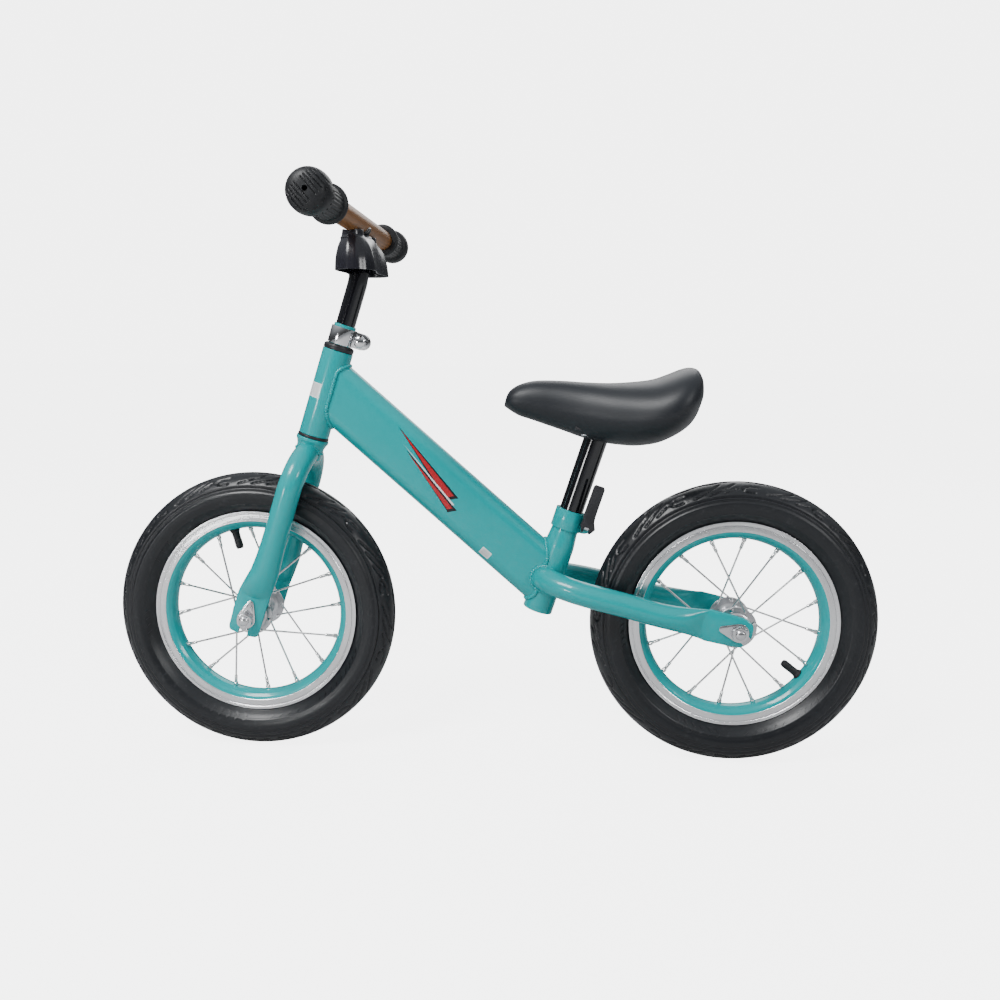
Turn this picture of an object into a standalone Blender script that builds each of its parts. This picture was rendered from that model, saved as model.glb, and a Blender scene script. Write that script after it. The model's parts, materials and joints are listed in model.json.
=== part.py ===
"""Balance bike, built as an assembly of separate pieces.

Metres, +Z up. The origin is on the ground, midway between the two axles. The front wheel
is at -X, and the rider's left is -Y. Run with: blender --background --python part.py
"""

import math

import bmesh
import bpy
from mathutils import Matrix, Vector

# ---------------------------------------------------------------- driving dimensions
WHEEL_RADIUS = 0.150
WHEELBASE = 0.509
TYRE_HALF_WIDTH = 0.023
RIM_LIP_RADIUS = 0.1094
RIM_HALF_WIDTH = 0.0126
RIM_BED_RADIUS = 0.0902

HEAD_ANGLE = math.radians(17.1)  # lean of the steering axis from vertical
FORK_LENGTH = 0.2014  # front axle to head tube, along the steering axis
FORK_RAKE = 0.0049
HEAD_TUBE_LENGTH = 0.092
HEAD_TUBE_RADIUS = 0.0159
HEAD_TUBE_BORE = 0.0142

SEAT_ANGLE = math.radians(17.5)  # lean of the seat tube from vertical
SEAT_TUBE_FOOT = Vector((0.0486, 0, 0.1586))
SEAT_TUBE_LENGTH = 0.113
SEAT_TUBE_RADIUS = 0.0158
SEAT_TUBE_NECK_RADIUS = 0.0140
SEAT_POST_RADIUS = 0.0125
SEAT_POST_INSERTED = 0.066

DOWN_TUBE_HEIGHT = 0.061
DOWN_TUBE_WIDTH = 0.028
DOWN_TUBE_WALL = 0.0016
DOWN_TUBE_FRONT = Vector((-0.1765, 0, 0.3945))
DOWN_TUBE_REAR = Vector((0.0600, 0, 0.1910))

LEG_RADIUS = 0.0125
LEG_WALL = 0.0016
LEG_OFFSET = 0.040  # centre of a fork leg from the middle plane
DROPOUT_HALF_THICKNESS = 0.0025
DROPOUT_HALF_HEIGHT = 0.0168
STAY_RADIUS = 0.0125

STEERER_RADIUS = 0.0115
STEERER_BORE = 0.0104
STEERER_TOP = 0.1195
STEM_RADIUS = 0.0101
STEM_WALL = 0.0015
STEM_FOOT = 0.046
STEM_BEND_START = 0.160
STEM_BEND_RADIUS = 0.070
BAR_RADIUS = 0.0111
BAR_WALL = 0.0015
BAR_HALF_LENGTH = 0.203
BAR_FORWARD = 0.0139  # bar centre ahead of the steering axis
BAR_HEIGHT = 0.2207  # bar centre above the head tube's foot, along the steering axis
GRIP_INNER_END = 0.128
GRIP_OUTER_END = 0.212

AXLE_RADIUS = 0.0046
AXLE_HALF_LENGTH = 0.054
HUB_FLANGE_RADIUS = 0.0215
HUB_FLANGE_OFFSET = 0.0215
SPOKES = 16
SPOKE_RADIUS = 0.0010
SPOKE_HOLE_RADIUS = 0.0190
FRONT_VALVE_ANGLE = math.radians(105.6)
REAR_VALVE_ANGLE = math.radians(-37.7)
FRONT_SPOKE_PHASE = math.radians(27.5)
REAR_SPOKE_PHASE = math.radians(-28.5)

GAP = 0.0003  # clearance kept between touching pieces
WHEEL_SEGMENTS = 40
ROUND_SEGMENTS = 24

COLLECTION = "balance_bike"
CUTTERS = "cutters"


# ---------------------------------------------------------------- scene and materials
def clear_scene():
    for obj in list(bpy.data.objects):
        bpy.data.objects.remove(obj, do_unlink=True)


def collection(name):
    found = bpy.data.collections.get(name)
    if found is None:
        found = bpy.data.collections.new(name)
        bpy.context.scene.collection.children.link(found)
    return found


def material(name, colour, roughness, metallic=0.0):
    made = bpy.data.materials.get(name)
    if made is None:
        made = bpy.data.materials.new(name)
        made.use_nodes = True
        shader = made.node_tree.nodes["Principled BSDF"]
        shader.inputs["Base Color"].default_value = (*colour, 1.0)
        shader.inputs["Roughness"].default_value = roughness
        shader.inputs["Metallic"].default_value = metallic
        made.diffuse_color = (*colour, 1.0)
    return made


def teal_paint():
    return material("teal_paint", (0.0, 0.36, 0.36), 0.3)


def black_gloss():
    return material("black_gloss", (0.012, 0.012, 0.016), 0.15)


def chrome():
    return material("chrome", (0.75, 0.75, 0.77), 0.12, 1.0)


def zinc():
    return material("zinc", (0.60, 0.61, 0.63), 0.3, 1.0)


def aluminium():
    return material("rim_aluminium", (0.70, 0.70, 0.72), 0.3, 1.0)


def tyre_rubber():
    return material("tyre_rubber", (0.02, 0.02, 0.024), 0.55)


def tube_rubber():
    return material("tube_rubber", (0.015, 0.015, 0.015), 0.6)


def grip_rubber():
    return material("grip_rubber", (0.035, 0.037, 0.042), 0.6)


def bronze_paint():
    return material("bronze_paint", (0.25, 0.13, 0.06), 0.35, 0.4)


def saddle_skin():
    return material("saddle_skin", (0.03, 0.035, 0.045), 0.4)


def black_plastic():
    return material("black_plastic", (0.02, 0.02, 0.025), 0.35)


# ---------------------------------------------------------------- shape helpers
def frame_empty(name, location, rotation=(0, 0, 0)):
    empty = bpy.data.objects.new(name, None)
    collection(COLLECTION).objects.link(empty)
    empty.location = location
    empty.rotation_euler = rotation
    return empty


def finish(obj, finish_material=None, parent=None, location=None, rotation=None, cutter=False):
    """Names the owner, place and finish of a new object, and files it as a part or a cutter."""
    for owner in list(obj.users_collection):
        owner.objects.unlink(obj)
    collection(CUTTERS if cutter else COLLECTION).objects.link(obj)
    if parent is not None:
        obj.parent = parent
    if location is not None:
        obj.location = location
    if rotation is not None:
        obj.rotation_euler = rotation
    if finish_material is not None:
        obj.data.materials.clear()
        obj.data.materials.append(finish_material)
    if cutter:
        obj.hide_render = True
        obj.display_type = "WIRE"
    elif obj.type == "MESH":
        obj.data.shade_smooth()
        obj.data.set_sharp_from_angle(angle=math.radians(35))
    return obj


def mesh_object(name, points, faces, edges=()):
    mesh = bpy.data.meshes.new(name)
    mesh.from_pydata([tuple(p) for p in points], list(edges), faces)
    mesh.update()
    return bpy.data.objects.new(name, mesh)


def turned(name, profile, segments=ROUND_SEGMENTS, closed=True, **where):
    """A shape turned about its own Z axis. The profile is (radius, height), down its outer side first."""
    points = [(radius, 0, height) for radius, height in profile]
    count = len(points)
    edges = [(i, i + 1) for i in range(count - 1)]
    if closed:
        edges.append((count - 1, 0))
    obj = mesh_object(name, points, [], edges)
    screw = obj.modifiers.new("Screw", "SCREW")
    screw.steps = screw.render_steps = segments
    screw.use_merge_vertices = True
    screw.merge_threshold = 0.00001
    return finish(obj, **where)


def disc(radius, low, high):
    """Profile of a solid cylinder."""
    return [(0, high), (radius, high), (radius, low), (0, low)]


def ring(outer, inner, low, high):
    """Profile of a plain hollow cylinder."""
    return [(outer, high), (outer, low), (inner, low), (inner, high)]


def solid_mesh(name, add, **where):
    """An object from a bmesh primitive: add(bm) makes it."""
    mesh = bpy.data.meshes.new(name)
    bm = bmesh.new()
    add(bm)
    bmesh.ops.recalc_face_normals(bm, faces=bm.faces)
    bm.to_mesh(mesh)
    bm.free()
    return finish(bpy.data.objects.new(name, mesh), **where)


def cylinder(name, radius, length, axis="Z", segments=ROUND_SEGMENTS, **where):
    """A cylinder centred on its origin, along one of its own axes."""
    turn = {"X": Matrix.Rotation(math.pi / 2, 4, "Y"), "Y": Matrix.Rotation(-math.pi / 2, 4, "X")}

    def add(bm):
        bmesh.ops.create_cone(
            bm, cap_ends=True, segments=segments, radius1=radius, radius2=radius,
            depth=length, matrix=turn.get(axis, Matrix()),
        )

    return solid_mesh(name, add, **where)


def box(name, low, high, **where):
    """A box between two corners."""
    low, high = Vector(low), Vector(high)
    size = high - low

    def add(bm):
        placed = Matrix.Translation((low + high) / 2) @ Matrix.Diagonal((*size, 1))
        bmesh.ops.create_cube(bm, size=1, matrix=placed)

    return solid_mesh(name, add, **where)


def outline_plate(name, outlines, thickness, **where):
    """A flat plate in its own XY plane from closed outlines; an inner outline is a hole."""
    curve = bpy.data.curves.new(name, "CURVE")
    curve.dimensions = "2D"
    curve.fill_mode = "BOTH"
    curve.extrude = thickness / 2
    for outline in outlines:
        spline = curve.splines.new("POLY")
        spline.points.add(len(outline) - 1)
        for point, (x, y) in zip(spline.points, outline):
            point.co = (x, y, 0, 1)
        spline.use_cyclic_u = True
    obj = bpy.data.objects.new(name, curve)
    collection(COLLECTION).objects.link(obj)
    return finish(as_mesh(obj), **where)


def as_mesh(obj):
    """The evaluated shape of a curve as a welded mesh object with the same name."""
    bpy.context.view_layer.update()
    evaluated = obj.evaluated_get(bpy.context.evaluated_depsgraph_get())
    mesh = bpy.data.meshes.new_from_object(evaluated)
    bm = bmesh.new()
    bm.from_mesh(mesh)
    bmesh.ops.remove_doubles(bm, verts=bm.verts, dist=0.00001)
    bmesh.ops.recalc_face_normals(bm, faces=bm.faces)
    bm.to_mesh(mesh)
    bm.free()
    name, world = obj.name, obj.matrix_world.copy()
    bpy.data.objects.remove(obj, do_unlink=True)
    made = bpy.data.objects.new(name, mesh)
    made.matrix_world = world
    return made


def stadium(half_length, half_width, steps=7):
    """Outline of a flat oval, long along Y, with round ends."""
    straight = half_length - half_width
    points = []
    for centre, start in ((straight, 0.0), (-straight, math.pi)):
        for i in range(steps + 1):
            angle = start + math.pi * i / steps
            points.append((half_width * math.cos(angle), centre + half_width * math.sin(angle)))
    return points


def arc(centre, radius, start, end, steps):
    """Points of an arc in a plane, with angles in radians."""
    return [
        (
            centre[0] + radius * math.cos(start + (end - start) * i / steps),
            centre[1] + radius * math.sin(start + (end - start) * i / steps),
        )
        for i in range(steps + 1)
    ]


def section(centre, tangent, side, half_side, half_other, points=12):
    """A ring of an elliptic section across a path. side is the direction that half_side runs along."""
    tangent = Vector(tangent).normalized()
    side = Vector(side)
    side = (side - tangent * side.dot(tangent)).normalized()
    other = tangent.cross(side)
    ring_points = []
    for i in range(points):
        angle = 2 * math.pi * i / points
        ring_points.append(
            Vector(centre) + side * half_side * math.cos(angle) + other * half_other * math.sin(angle)
        )
    return ring_points


def loft(name, outer, inner=(), **where):
    """A skin over rings from first to last. With inner rings, it is hollow and open at the first ring."""
    rings = list(outer)
    count = len(rings[0])
    chains = [list(range(len(outer)))]
    if inner:
        chains.append(list(range(len(outer), len(outer) + len(inner))))
        rings += list(inner)
    points = [p for one in rings for p in one]
    faces = []

    def join(a, b):
        for i in range(count):
            j = (i + 1) % count
            faces.append((a * count + i, a * count + j, b * count + j, b * count + i))

    def cap(a):
        faces.append(tuple(a * count + i for i in range(count)))

    for chain in chains:
        for a, b in zip(chain, chain[1:]):
            join(a, b)
        cap(chain[-1])
    if inner:
        join(chains[0][0], chains[1][0])
    else:
        cap(0)
    obj = mesh_object(name, points, faces)
    bm = bmesh.new()
    bm.from_mesh(obj.data)
    bmesh.ops.recalc_face_normals(bm, faces=bm.faces)
    bm.to_mesh(obj.data)
    bm.free()
    return finish(obj, **where)


def combine(obj, other, operation):
    modifier = obj.modifiers.new(operation.title(), "BOOLEAN")
    modifier.operation = operation
    modifier.object = other
    modifier.solver = "EXACT"
    return obj


def cut(obj, *cutters):
    for cutter in cutters:
        combine(obj, cutter, "DIFFERENCE")
    return obj


def along(points, keys):
    """Points of a smooth curve through keys, with the given number of points between each pair."""
    path = []
    last = len(keys) - 1
    for i in range(last):
        before, start = keys[max(i - 1, 0)], keys[i]
        end, after = keys[i + 1], keys[min(i + 2, last)]
        for step in range(points):
            t = step / points
            path.append(
                0.5 * (
                    2 * start + (end - before) * t
                    + (2 * before - 5 * start + 4 * end - after) * t * t
                    + (3 * start - before - 3 * end + after) * t ** 3
                )
            )
    path.append(keys[-1])
    return path


def tangents(path):
    found = []
    for i in range(len(path)):
        ahead, behind = path[min(i + 1, len(path) - 1)], path[max(i - 1, 0)]
        found.append((ahead - behind).normalized())
    return found


# ---------------------------------------------------------------- frames of reference
def steering_frame():
    """Empty on the steering axis at the head tube's foot, with its Z up the axis."""
    front_axle = Vector((-WHEELBASE / 2, 0, WHEEL_RADIUS))
    turn = Matrix.Rotation(HEAD_ANGLE, 3, "Y")
    foot = front_axle - turn @ Vector((-FORK_RAKE, 0, -FORK_LENGTH))
    return frame_empty("steering_frame", foot, (0, HEAD_ANGLE, 0))


def wheel_frame(name, x):
    """Empty at an axle's middle, with its Z along +Y."""
    return frame_empty(name, (x, 0, WHEEL_RADIUS), (-math.pi / 2, 0, 0))


# ---------------------------------------------------------------- wheels
def tyre_profile():
    """Horseshoe section as (radius, across): outer skin down, then the inner skin back up."""
    outer = [
        (0.1034, 0.0108), (0.1100, 0.0108), (0.1180, 0.0205), (0.1275, 0.0230), (0.1400, 0.0193),
        (0.1478, 0.0102), (0.1500, 0.0),
    ]
    inner = [(0.1462, 0.0), (0.1404, 0.0135), (0.1270, 0.0190), (0.1155, 0.0125), (0.1034, 0.0073)]
    mirrored_outer = [(radius, -across) for radius, across in reversed(outer[:-1])]
    mirrored_inner = [(radius, -across) for radius, across in reversed(inner[1:])]
    return outer + mirrored_outer + mirrored_inner + inner


def rim_profile():
    """Double-lipped section with a drop centre and a V-shaped spoke bed."""
    half, lip = RIM_HALF_WIDTH, RIM_LIP_RADIUS
    seat, drop, track = 0.1026, 0.0996, 0.0984
    outer = [(lip, half), (lip, half - 0.0015), (seat, half - 0.0015), (drop, 0.0060)]
    inner = [(RIM_BED_RADIUS, 0.0), (track, half)]
    mirrored_outer = [(radius, -across) for radius, across in reversed(outer)]
    mirrored_inner = [(radius, -across) for radius, across in reversed(inner[1:])]
    return outer + mirrored_outer + mirrored_inner + inner


def wheel_point(radius, angle, across=0.0):
    """A point of a wheel in its own frame; the angle is from +X towards up."""
    return Vector((radius * math.cos(angle), -radius * math.sin(angle), across))


def radial_cylinder(name, radius, inner, outer, angle, frame, **where):
    """A cylinder along a wheel's radius."""
    middle = wheel_point((inner + outer) / 2, angle)
    return cylinder(
        name, radius, outer - inner, axis="X", segments=12, parent=frame,
        location=middle, rotation=(0, 0, -angle), **where,
    )


def hub_profile():
    """Half of the hub shell from its middle out, mirrored: barrel, flange, bearing cup."""
    outer = [
        (0.0110, 0.0180), (HUB_FLANGE_RADIUS, 0.0202), (HUB_FLANGE_RADIUS, 0.0228),
        (0.0135, 0.0240), (0.0135, 0.0285),
    ]
    inner = [(0.0118, 0.0285), (0.0118, 0.0225), (0.0060, 0.0215)]
    lower = [(radius, -across) for radius, across in outer]
    inner_lower = [(radius, -across) for radius, across in inner]
    return list(reversed(outer)) + lower + inner_lower + list(reversed(inner))


def spokes_solid(name, frame, phase):
    """All spokes of a wheel, laced one-cross, as separate rods of one cutter object."""
    holes = SPOKES // 2
    step = 2 * math.pi / holes
    mesh = bpy.data.meshes.new(name)
    bm = bmesh.new()
    for side in (-1, 1):
        for k in range(holes):
            hub_angle = (k + (0.5 if side > 0 else 0.0)) * step + phase
            lead = 1 if k % 2 == 0 else -1
            rim_angle = hub_angle + lead * step
            start = wheel_point(SPOKE_HOLE_RADIUS, hub_angle, side * (HUB_FLANGE_OFFSET + lead * 0.0017))
            end = wheel_point(RIM_BED_RADIUS - 0.0010, rim_angle, side * 0.0020)
            run = end - start
            turn = run.to_track_quat("Z", "Y").to_matrix().to_4x4()
            bmesh.ops.create_cone(
                bm, cap_ends=True, segments=6, radius1=SPOKE_RADIUS, radius2=SPOKE_RADIUS,
                depth=run.length, matrix=Matrix.Translation((start + end) / 2) @ turn,
            )
    bm.to_mesh(mesh)
    bm.free()
    return finish(bpy.data.objects.new(name, mesh), parent=frame, cutter=True)


def inner_tube(name, frame, valve_angle):
    """Hollow rubber ring with its valve stem, whose bore opens the cavity."""
    centre, minor, wall = 0.1280, 0.0160, 0.0012
    valve_end, valve_radius, bore_radius = 0.0690, 0.0034, 0.0010

    def torus_ring(ring_name, radius, **where):
        loop = arc((centre, 0), radius, math.pi / 2, -3 * math.pi / 2, 8)[:-1]
        return turned(ring_name, loop, segments=24, parent=frame, **where)

    tube = torus_ring(name, minor, finish_material=tube_rubber())
    stem = radial_cylinder(
        name + "_stem_tool", valve_radius, valve_end, centre - minor + 0.002, valve_angle, frame, cutter=True
    )
    cavity = torus_ring(name + "_cavity_tool", minor - wall, cutter=True)
    bore = radial_cylinder(
        name + "_bore_tool", bore_radius, valve_end - 0.004, centre - minor + 0.006, valve_angle, frame,
        cutter=True,
    )
    combine(tube, stem, "UNION")
    return cut(tube, cavity, bore)


def wheel(name, frame, valve_angle, spoke_phase):
    turned(name + "_tyre", tyre_profile(), WHEEL_SEGMENTS, finish_material=tyre_rubber(), parent=frame)
    inner_tube(name + "_inner_tube", frame, valve_angle)
    rim = turned(name + "_rim", rim_profile(), WHEEL_SEGMENTS, finish_material=aluminium(), parent=frame)
    cut(rim, radial_cylinder(name + "_valve_hole_tool", 0.0040, 0.080, 0.115, valve_angle, frame, cutter=True))
    hub = turned(name + "_hub", hub_profile(), 20, finish_material=zinc(), parent=frame)
    combine(hub, spokes_solid(name + "_spokes_tool", frame, spoke_phase), "UNION")


# ---------------------------------------------------------------- axles and their hardware
def hexagon(across_flats, turn=0.0):
    radius = across_flats / math.sqrt(3)
    return [
        (radius * math.cos(turn + math.pi * i / 3), radius * math.sin(turn + math.pi * i / 3))
        for i in range(6)
    ]


def tab_washer(name, frame, side, across, reach, tab_angle):
    """Washer with a long tab that ends in a hook through a hole in the dropout."""
    thickness, radius, tip = 0.0016, 0.0098, 0.0036
    lean = math.acos((radius - tip) / reach)
    body = arc((0, 0), radius, tab_angle + lean, tab_angle + 2 * math.pi - lean, 12)
    centre = (reach * math.cos(tab_angle), reach * math.sin(tab_angle))
    body += arc(centre, tip, tab_angle - lean, tab_angle + lean, 4)
    hole = arc((0, 0), AXLE_RADIUS + GAP, 0, 2 * math.pi, 12)[:-1]
    plate = outline_plate(
        name, [body, hole], thickness, finish_material=zinc(), parent=frame,
        location=(0, 0, side * (across + thickness / 2)),
    )
    hook = cylinder(
        name + "_hook_tool", 0.0017, 0.0040, segments=8, parent=frame,
        location=(*centre, side * (across - 0.0008)), cutter=True,
    )
    return combine(plate, hook, "UNION")


def axle_set(name, frame, tab_angle, tab_reach):
    """Fixed axle with its cones, washers and nuts."""
    cylinder(name + "_axle", AXLE_RADIUS, 2 * AXLE_HALF_LENGTH, segments=16, finish_material=zinc(), parent=frame)
    inner_face = LEG_OFFSET - DROPOUT_HALF_THICKNESS
    outer_face = LEG_OFFSET + DROPOUT_HALF_THICKNESS
    bore = AXLE_RADIUS + GAP
    cone_start = 0.0238
    for label, side in (("left", -1), ("right", 1)):
        cone = [
            (0.0072, cone_start), (0.0098, 0.0262), (0.0098, inner_face - GAP),
            (bore, inner_face - GAP), (bore, cone_start),
        ]
        if side < 0:
            cone = [(radius, -across) for radius, across in cone]
        else:
            cone = list(reversed(cone))
        turned(f"{name}_cone_{label}", cone, 16, finish_material=zinc(), parent=frame)
        tab_washer(f"{name}_tab_washer_{label}", frame, side, outer_face + GAP, tab_reach, tab_angle)
        nut_start = outer_face + GAP + 0.0016 + GAP
        outline_plate(
            f"{name}_axle_nut_{label}",
            [hexagon(0.0150), arc((0, 0), bore, 0, 2 * math.pi, 12)[:-1]],
            0.0062, finish_material=zinc(), parent=frame,
            location=(0, 0, side * (nut_start + 0.0031)),
        )


# ---------------------------------------------------------------- main frame
def head_tube(frame):
    return turned(
        "head_tube", ring(HEAD_TUBE_RADIUS, HEAD_TUBE_BORE, 0, HEAD_TUBE_LENGTH), 24,
        finish_material=teal_paint(), parent=frame,
    )


def seat_tube(frame):
    """Seat tube with its swaged, slightly smaller top where the collar sits."""
    bore, top = SEAT_POST_RADIUS + GAP, SEAT_TUBE_LENGTH
    neck, shoulder = 0.088, 0.076
    profile = [
        (SEAT_TUBE_NECK_RADIUS, top), (SEAT_TUBE_NECK_RADIUS, neck), (SEAT_TUBE_RADIUS, shoulder),
        (SEAT_TUBE_RADIUS, 0), (bore, 0), (bore, top),
    ]
    return turned("seat_tube", profile, 24, finish_material=teal_paint(), parent=frame)


def down_tube(steering, seat):
    """Flat-oval tube, mitred round the head tube and the seat tube."""
    run = DOWN_TUBE_REAR - DOWN_TUBE_FRONT
    lean = math.atan2(-run.z, run.x)

    def oval(name, grow, wall, length, **where):
        half_height, half_width = DOWN_TUBE_HEIGHT / 2 + grow, DOWN_TUBE_WIDTH / 2 + grow
        outlines = [stadium(half_height, half_width)]
        if wall:
            outlines.append(stadium(half_height - wall, half_width - wall))
        # The outline's X is across the bike and its Y is up; its Z then points back along the tube.
        turn = Matrix.Rotation(lean, 4, "Y") @ Matrix(((0, 0, 1, 0), (1, 0, 0, 0), (0, 1, 0, 0), (0, 0, 0, 1)))
        made = outline_plate(name, outlines, length, **where)
        made.matrix_world = Matrix.Translation((DOWN_TUBE_FRONT + DOWN_TUBE_REAR) / 2) @ turn
        return made

    tube = oval("down_tube", 0, DOWN_TUBE_WALL, run.length, finish_material=teal_paint())
    skin = oval("down_tube_tool", GAP, 0, run.length, cutter=True)
    head_tool = cylinder(
        "head_tube_tool", HEAD_TUBE_RADIUS + GAP, 0.30, segments=48, parent=steering,
        location=(0, 0, HEAD_TUBE_LENGTH / 2), cutter=True,
    )
    seat_tool = cylinder(
        "seat_tube_tool", SEAT_TUBE_RADIUS + GAP, 0.30, segments=48, parent=seat,
        location=(0, 0, SEAT_TUBE_LENGTH / 2), cutter=True,
    )
    front_trim = box(
        "front_trim_tool", (-0.06, -0.03, -0.1), (0, 0.03, 0.2), parent=steering, cutter=True
    )
    rear_trim = box("rear_trim_tool", (0, -0.03, -0.1), (0.06, 0.03, 0.2), parent=seat, cutter=True)
    cut(tube, head_tool, seat_tool, front_trim, rear_trim)
    return skin, seat_tool


def chainstay(label, side, tools):
    """Bent round tube from the seat tube's side, flattened at the rear into a slotted dropout."""
    keys = [
        Vector((0.0535, side * 0.0070, 0.1950)), Vector((0.0615, side * 0.0230, 0.1937)),
        Vector((0.0830, side * 0.0370, 0.1885)), Vector((0.1080, side * 0.0430, 0.1830)),
        Vector((0.1400, side * 0.0440, 0.1755)), Vector((0.1730, side * 0.0435, 0.1668)),
        Vector((0.2050, side * 0.0415, 0.1605)), Vector((0.2210, side * LEG_OFFSET, 0.1572)),
    ]
    path = keys
    headings = tangents(path)
    headings[0] = Vector((0, side, 0))
    outer, inner = [], []
    for i, (point, heading) in enumerate(zip(path, headings)):
        pressed = max(0.0, (i - 5) / 2) ** 1.5
        height = STAY_RADIUS + (DROPOUT_HALF_HEIGHT - STAY_RADIUS) * pressed
        thick = STAY_RADIUS + (DROPOUT_HALF_THICKNESS - STAY_RADIUS) * pressed
        up = Vector((0, 0, 1))
        outer.append(section(point, heading, up, height, thick))
        if i <= 5:
            inner.append(section(point, heading, up, height - LEG_WALL, thick - LEG_WALL))
    plate_run = Vector((0.0335, 0, -0.0072)).normalized()
    for distance, height in ((0.020, 0.0166), (0.036, 0.0155), (0.043, 0.0130), (0.0475, 0.0090)):
        centre = path[-1] + plate_run * distance
        outer.append(section(centre, plate_run, Vector((0, 0, 1)), height, DROPOUT_HALF_THICKNESS))
    stay = loft(f"chainstay_{label}", outer, inner, finish_material=teal_paint())
    axle = Vector((WHEELBASE / 2, side * LEG_OFFSET, WHEEL_RADIUS))
    slot_turn = math.radians(50)  # the slot opens down and back
    slot = box(
        f"rear_slot_tool_{label}", (0, -0.01, -0.0050), (0.05, 0.01, 0.0050),
        location=axle, rotation=(0, slot_turn, 0), cutter=True,
    )
    eye = cylinder(f"rear_eye_tool_{label}", 0.0050, 0.02, axis="Y", location=axle, cutter=True)
    hook_place = axle + Matrix.Rotation(math.radians(12.2), 3, "Y") @ Vector((-0.0175, 0, 0))
    hook = cylinder(
        f"rear_hook_tool_{label}", 0.0021, 0.02, axis="Y", segments=10, location=hook_place, cutter=True
    )
    return cut(stay, *tools, slot, eye, hook)


def headset(frame):
    """Plastic bearing cups pressed into the head tube's ends."""
    outer, inner = HEAD_TUBE_BORE - GAP, STEERER_RADIUS + GAP
    top = HEAD_TUBE_LENGTH
    upper = [
        (0.0138, top + 0.0062), (0.0158, top + 0.0046), (0.0158, top + GAP), (outer, top + GAP),
        (outer, top - 0.014), (inner, top - 0.014), (inner, top + 0.0062),
    ]
    turned("upper_headset_cup", upper, 24, finish_material=black_plastic(), parent=frame)
    lower = [
        (inner, 0.014), (outer, 0.014), (outer, -GAP), (0.0164, -GAP), (0.0164, -0.0030), (inner, -0.0030)
    ]
    turned("lower_headset_cup", lower, 24, finish_material=black_plastic(), parent=frame)


# ---------------------------------------------------------------- fork
def steerer(frame):
    """Steerer tube with the crown's cup-shaped seat, mitred over the tops of the legs."""
    seat_top = -0.0034
    profile = [
        (STEERER_RADIUS, STEERER_TOP), (STEERER_RADIUS, seat_top), (0.0168, seat_top), (0.0172, -0.0060),
        (0.0150, -0.0085), (0.0137, -0.0120), (0.0137, -0.0250), (STEERER_BORE, -0.0250),
        (STEERER_BORE, STEERER_TOP),
    ]
    tube = turned("steerer_tube", profile, 24, finish_material=teal_paint(), parent=frame)
    crown_ring = arc((LEG_OFFSET, 0), LEG_RADIUS + GAP, math.pi / 2, -3 * math.pi / 2, 24)[:-1]
    crown = turned(
        "crown_tool", crown_ring, 64, parent=frame, location=(0, 0, -0.060),
        rotation=(0, math.pi / 2, 0), cutter=True,
    )
    return cut(tube, crown)


def fork_leg(label, side, frame):
    """Leg bent out from the crown, then straight down to a flattened, slotted dropout."""
    arch = 0.060  # depth of the arch's centre below the head tube
    bend = [
        Vector((0, side * LEG_OFFSET * math.sin(a), -arch + LEG_OFFSET * math.cos(a)))
        for a in (math.pi / 2 * i / 5 for i in range(6))
    ]
    bend[0].y = side * GAP / 2
    straight_end, plate_start = -0.152, -0.172
    path = bend + [Vector((0, side * LEG_OFFSET, z)) for z in (-0.105, straight_end)]
    headings = tangents(path)
    headings[0] = Vector((0, side, 0))
    headings[-1] = Vector((0, 0, -1))
    fore = Vector((-1, 0, 0))
    outer = [section(p, h, fore, LEG_RADIUS, LEG_RADIUS) for p, h in zip(path, headings)]
    bore = LEG_RADIUS - LEG_WALL
    inner = [section(p, h, fore, bore, bore) for p, h in zip(path, headings)]
    down = Vector((0, 0, -1))

    def flat(z, x, width, thick):
        return section((x, side * LEG_OFFSET, z), down, fore, width, thick)

    axle_x = -FORK_RAKE
    outer += [
        flat(-0.160, axle_x * 0.3, 0.0140, 0.0108), flat(-0.167, axle_x * 0.6, 0.0158, 0.0066),
        flat(plate_start, axle_x, DROPOUT_HALF_HEIGHT, DROPOUT_HALF_THICKNESS),
        flat(-0.196, axle_x, DROPOUT_HALF_HEIGHT, DROPOUT_HALF_THICKNESS),
        flat(-0.2130, axle_x, 0.0166, DROPOUT_HALF_THICKNESS),
        flat(-0.2170, axle_x, 0.0152, DROPOUT_HALF_THICKNESS),
        flat(-0.2185, axle_x, 0.0125, DROPOUT_HALF_THICKNESS),
    ]
    leg = loft(f"fork_leg_{label}", outer, inner, finish_material=teal_paint(), parent=frame)
    axle = Vector((axle_x, side * LEG_OFFSET, -FORK_LENGTH))
    slot = box(
        f"front_slot_tool_{label}", axle + Vector((-0.0050, -0.01, -0.04)), axle + Vector((0.0050, 0.01, 0)),
        parent=frame, cutter=True,
    )
    eye = cylinder(f"front_eye_tool_{label}", 0.0050, 0.02, axis="Y", parent=frame, location=axle, cutter=True)
    hook = cylinder(
        f"front_hook_tool_{label}", 0.0021, 0.02, axis="Y", segments=10, parent=frame,
        location=axle + Vector((0, 0, 0.0175)), cutter=True,
    )
    return cut(leg, slot, eye, hook)


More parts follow.
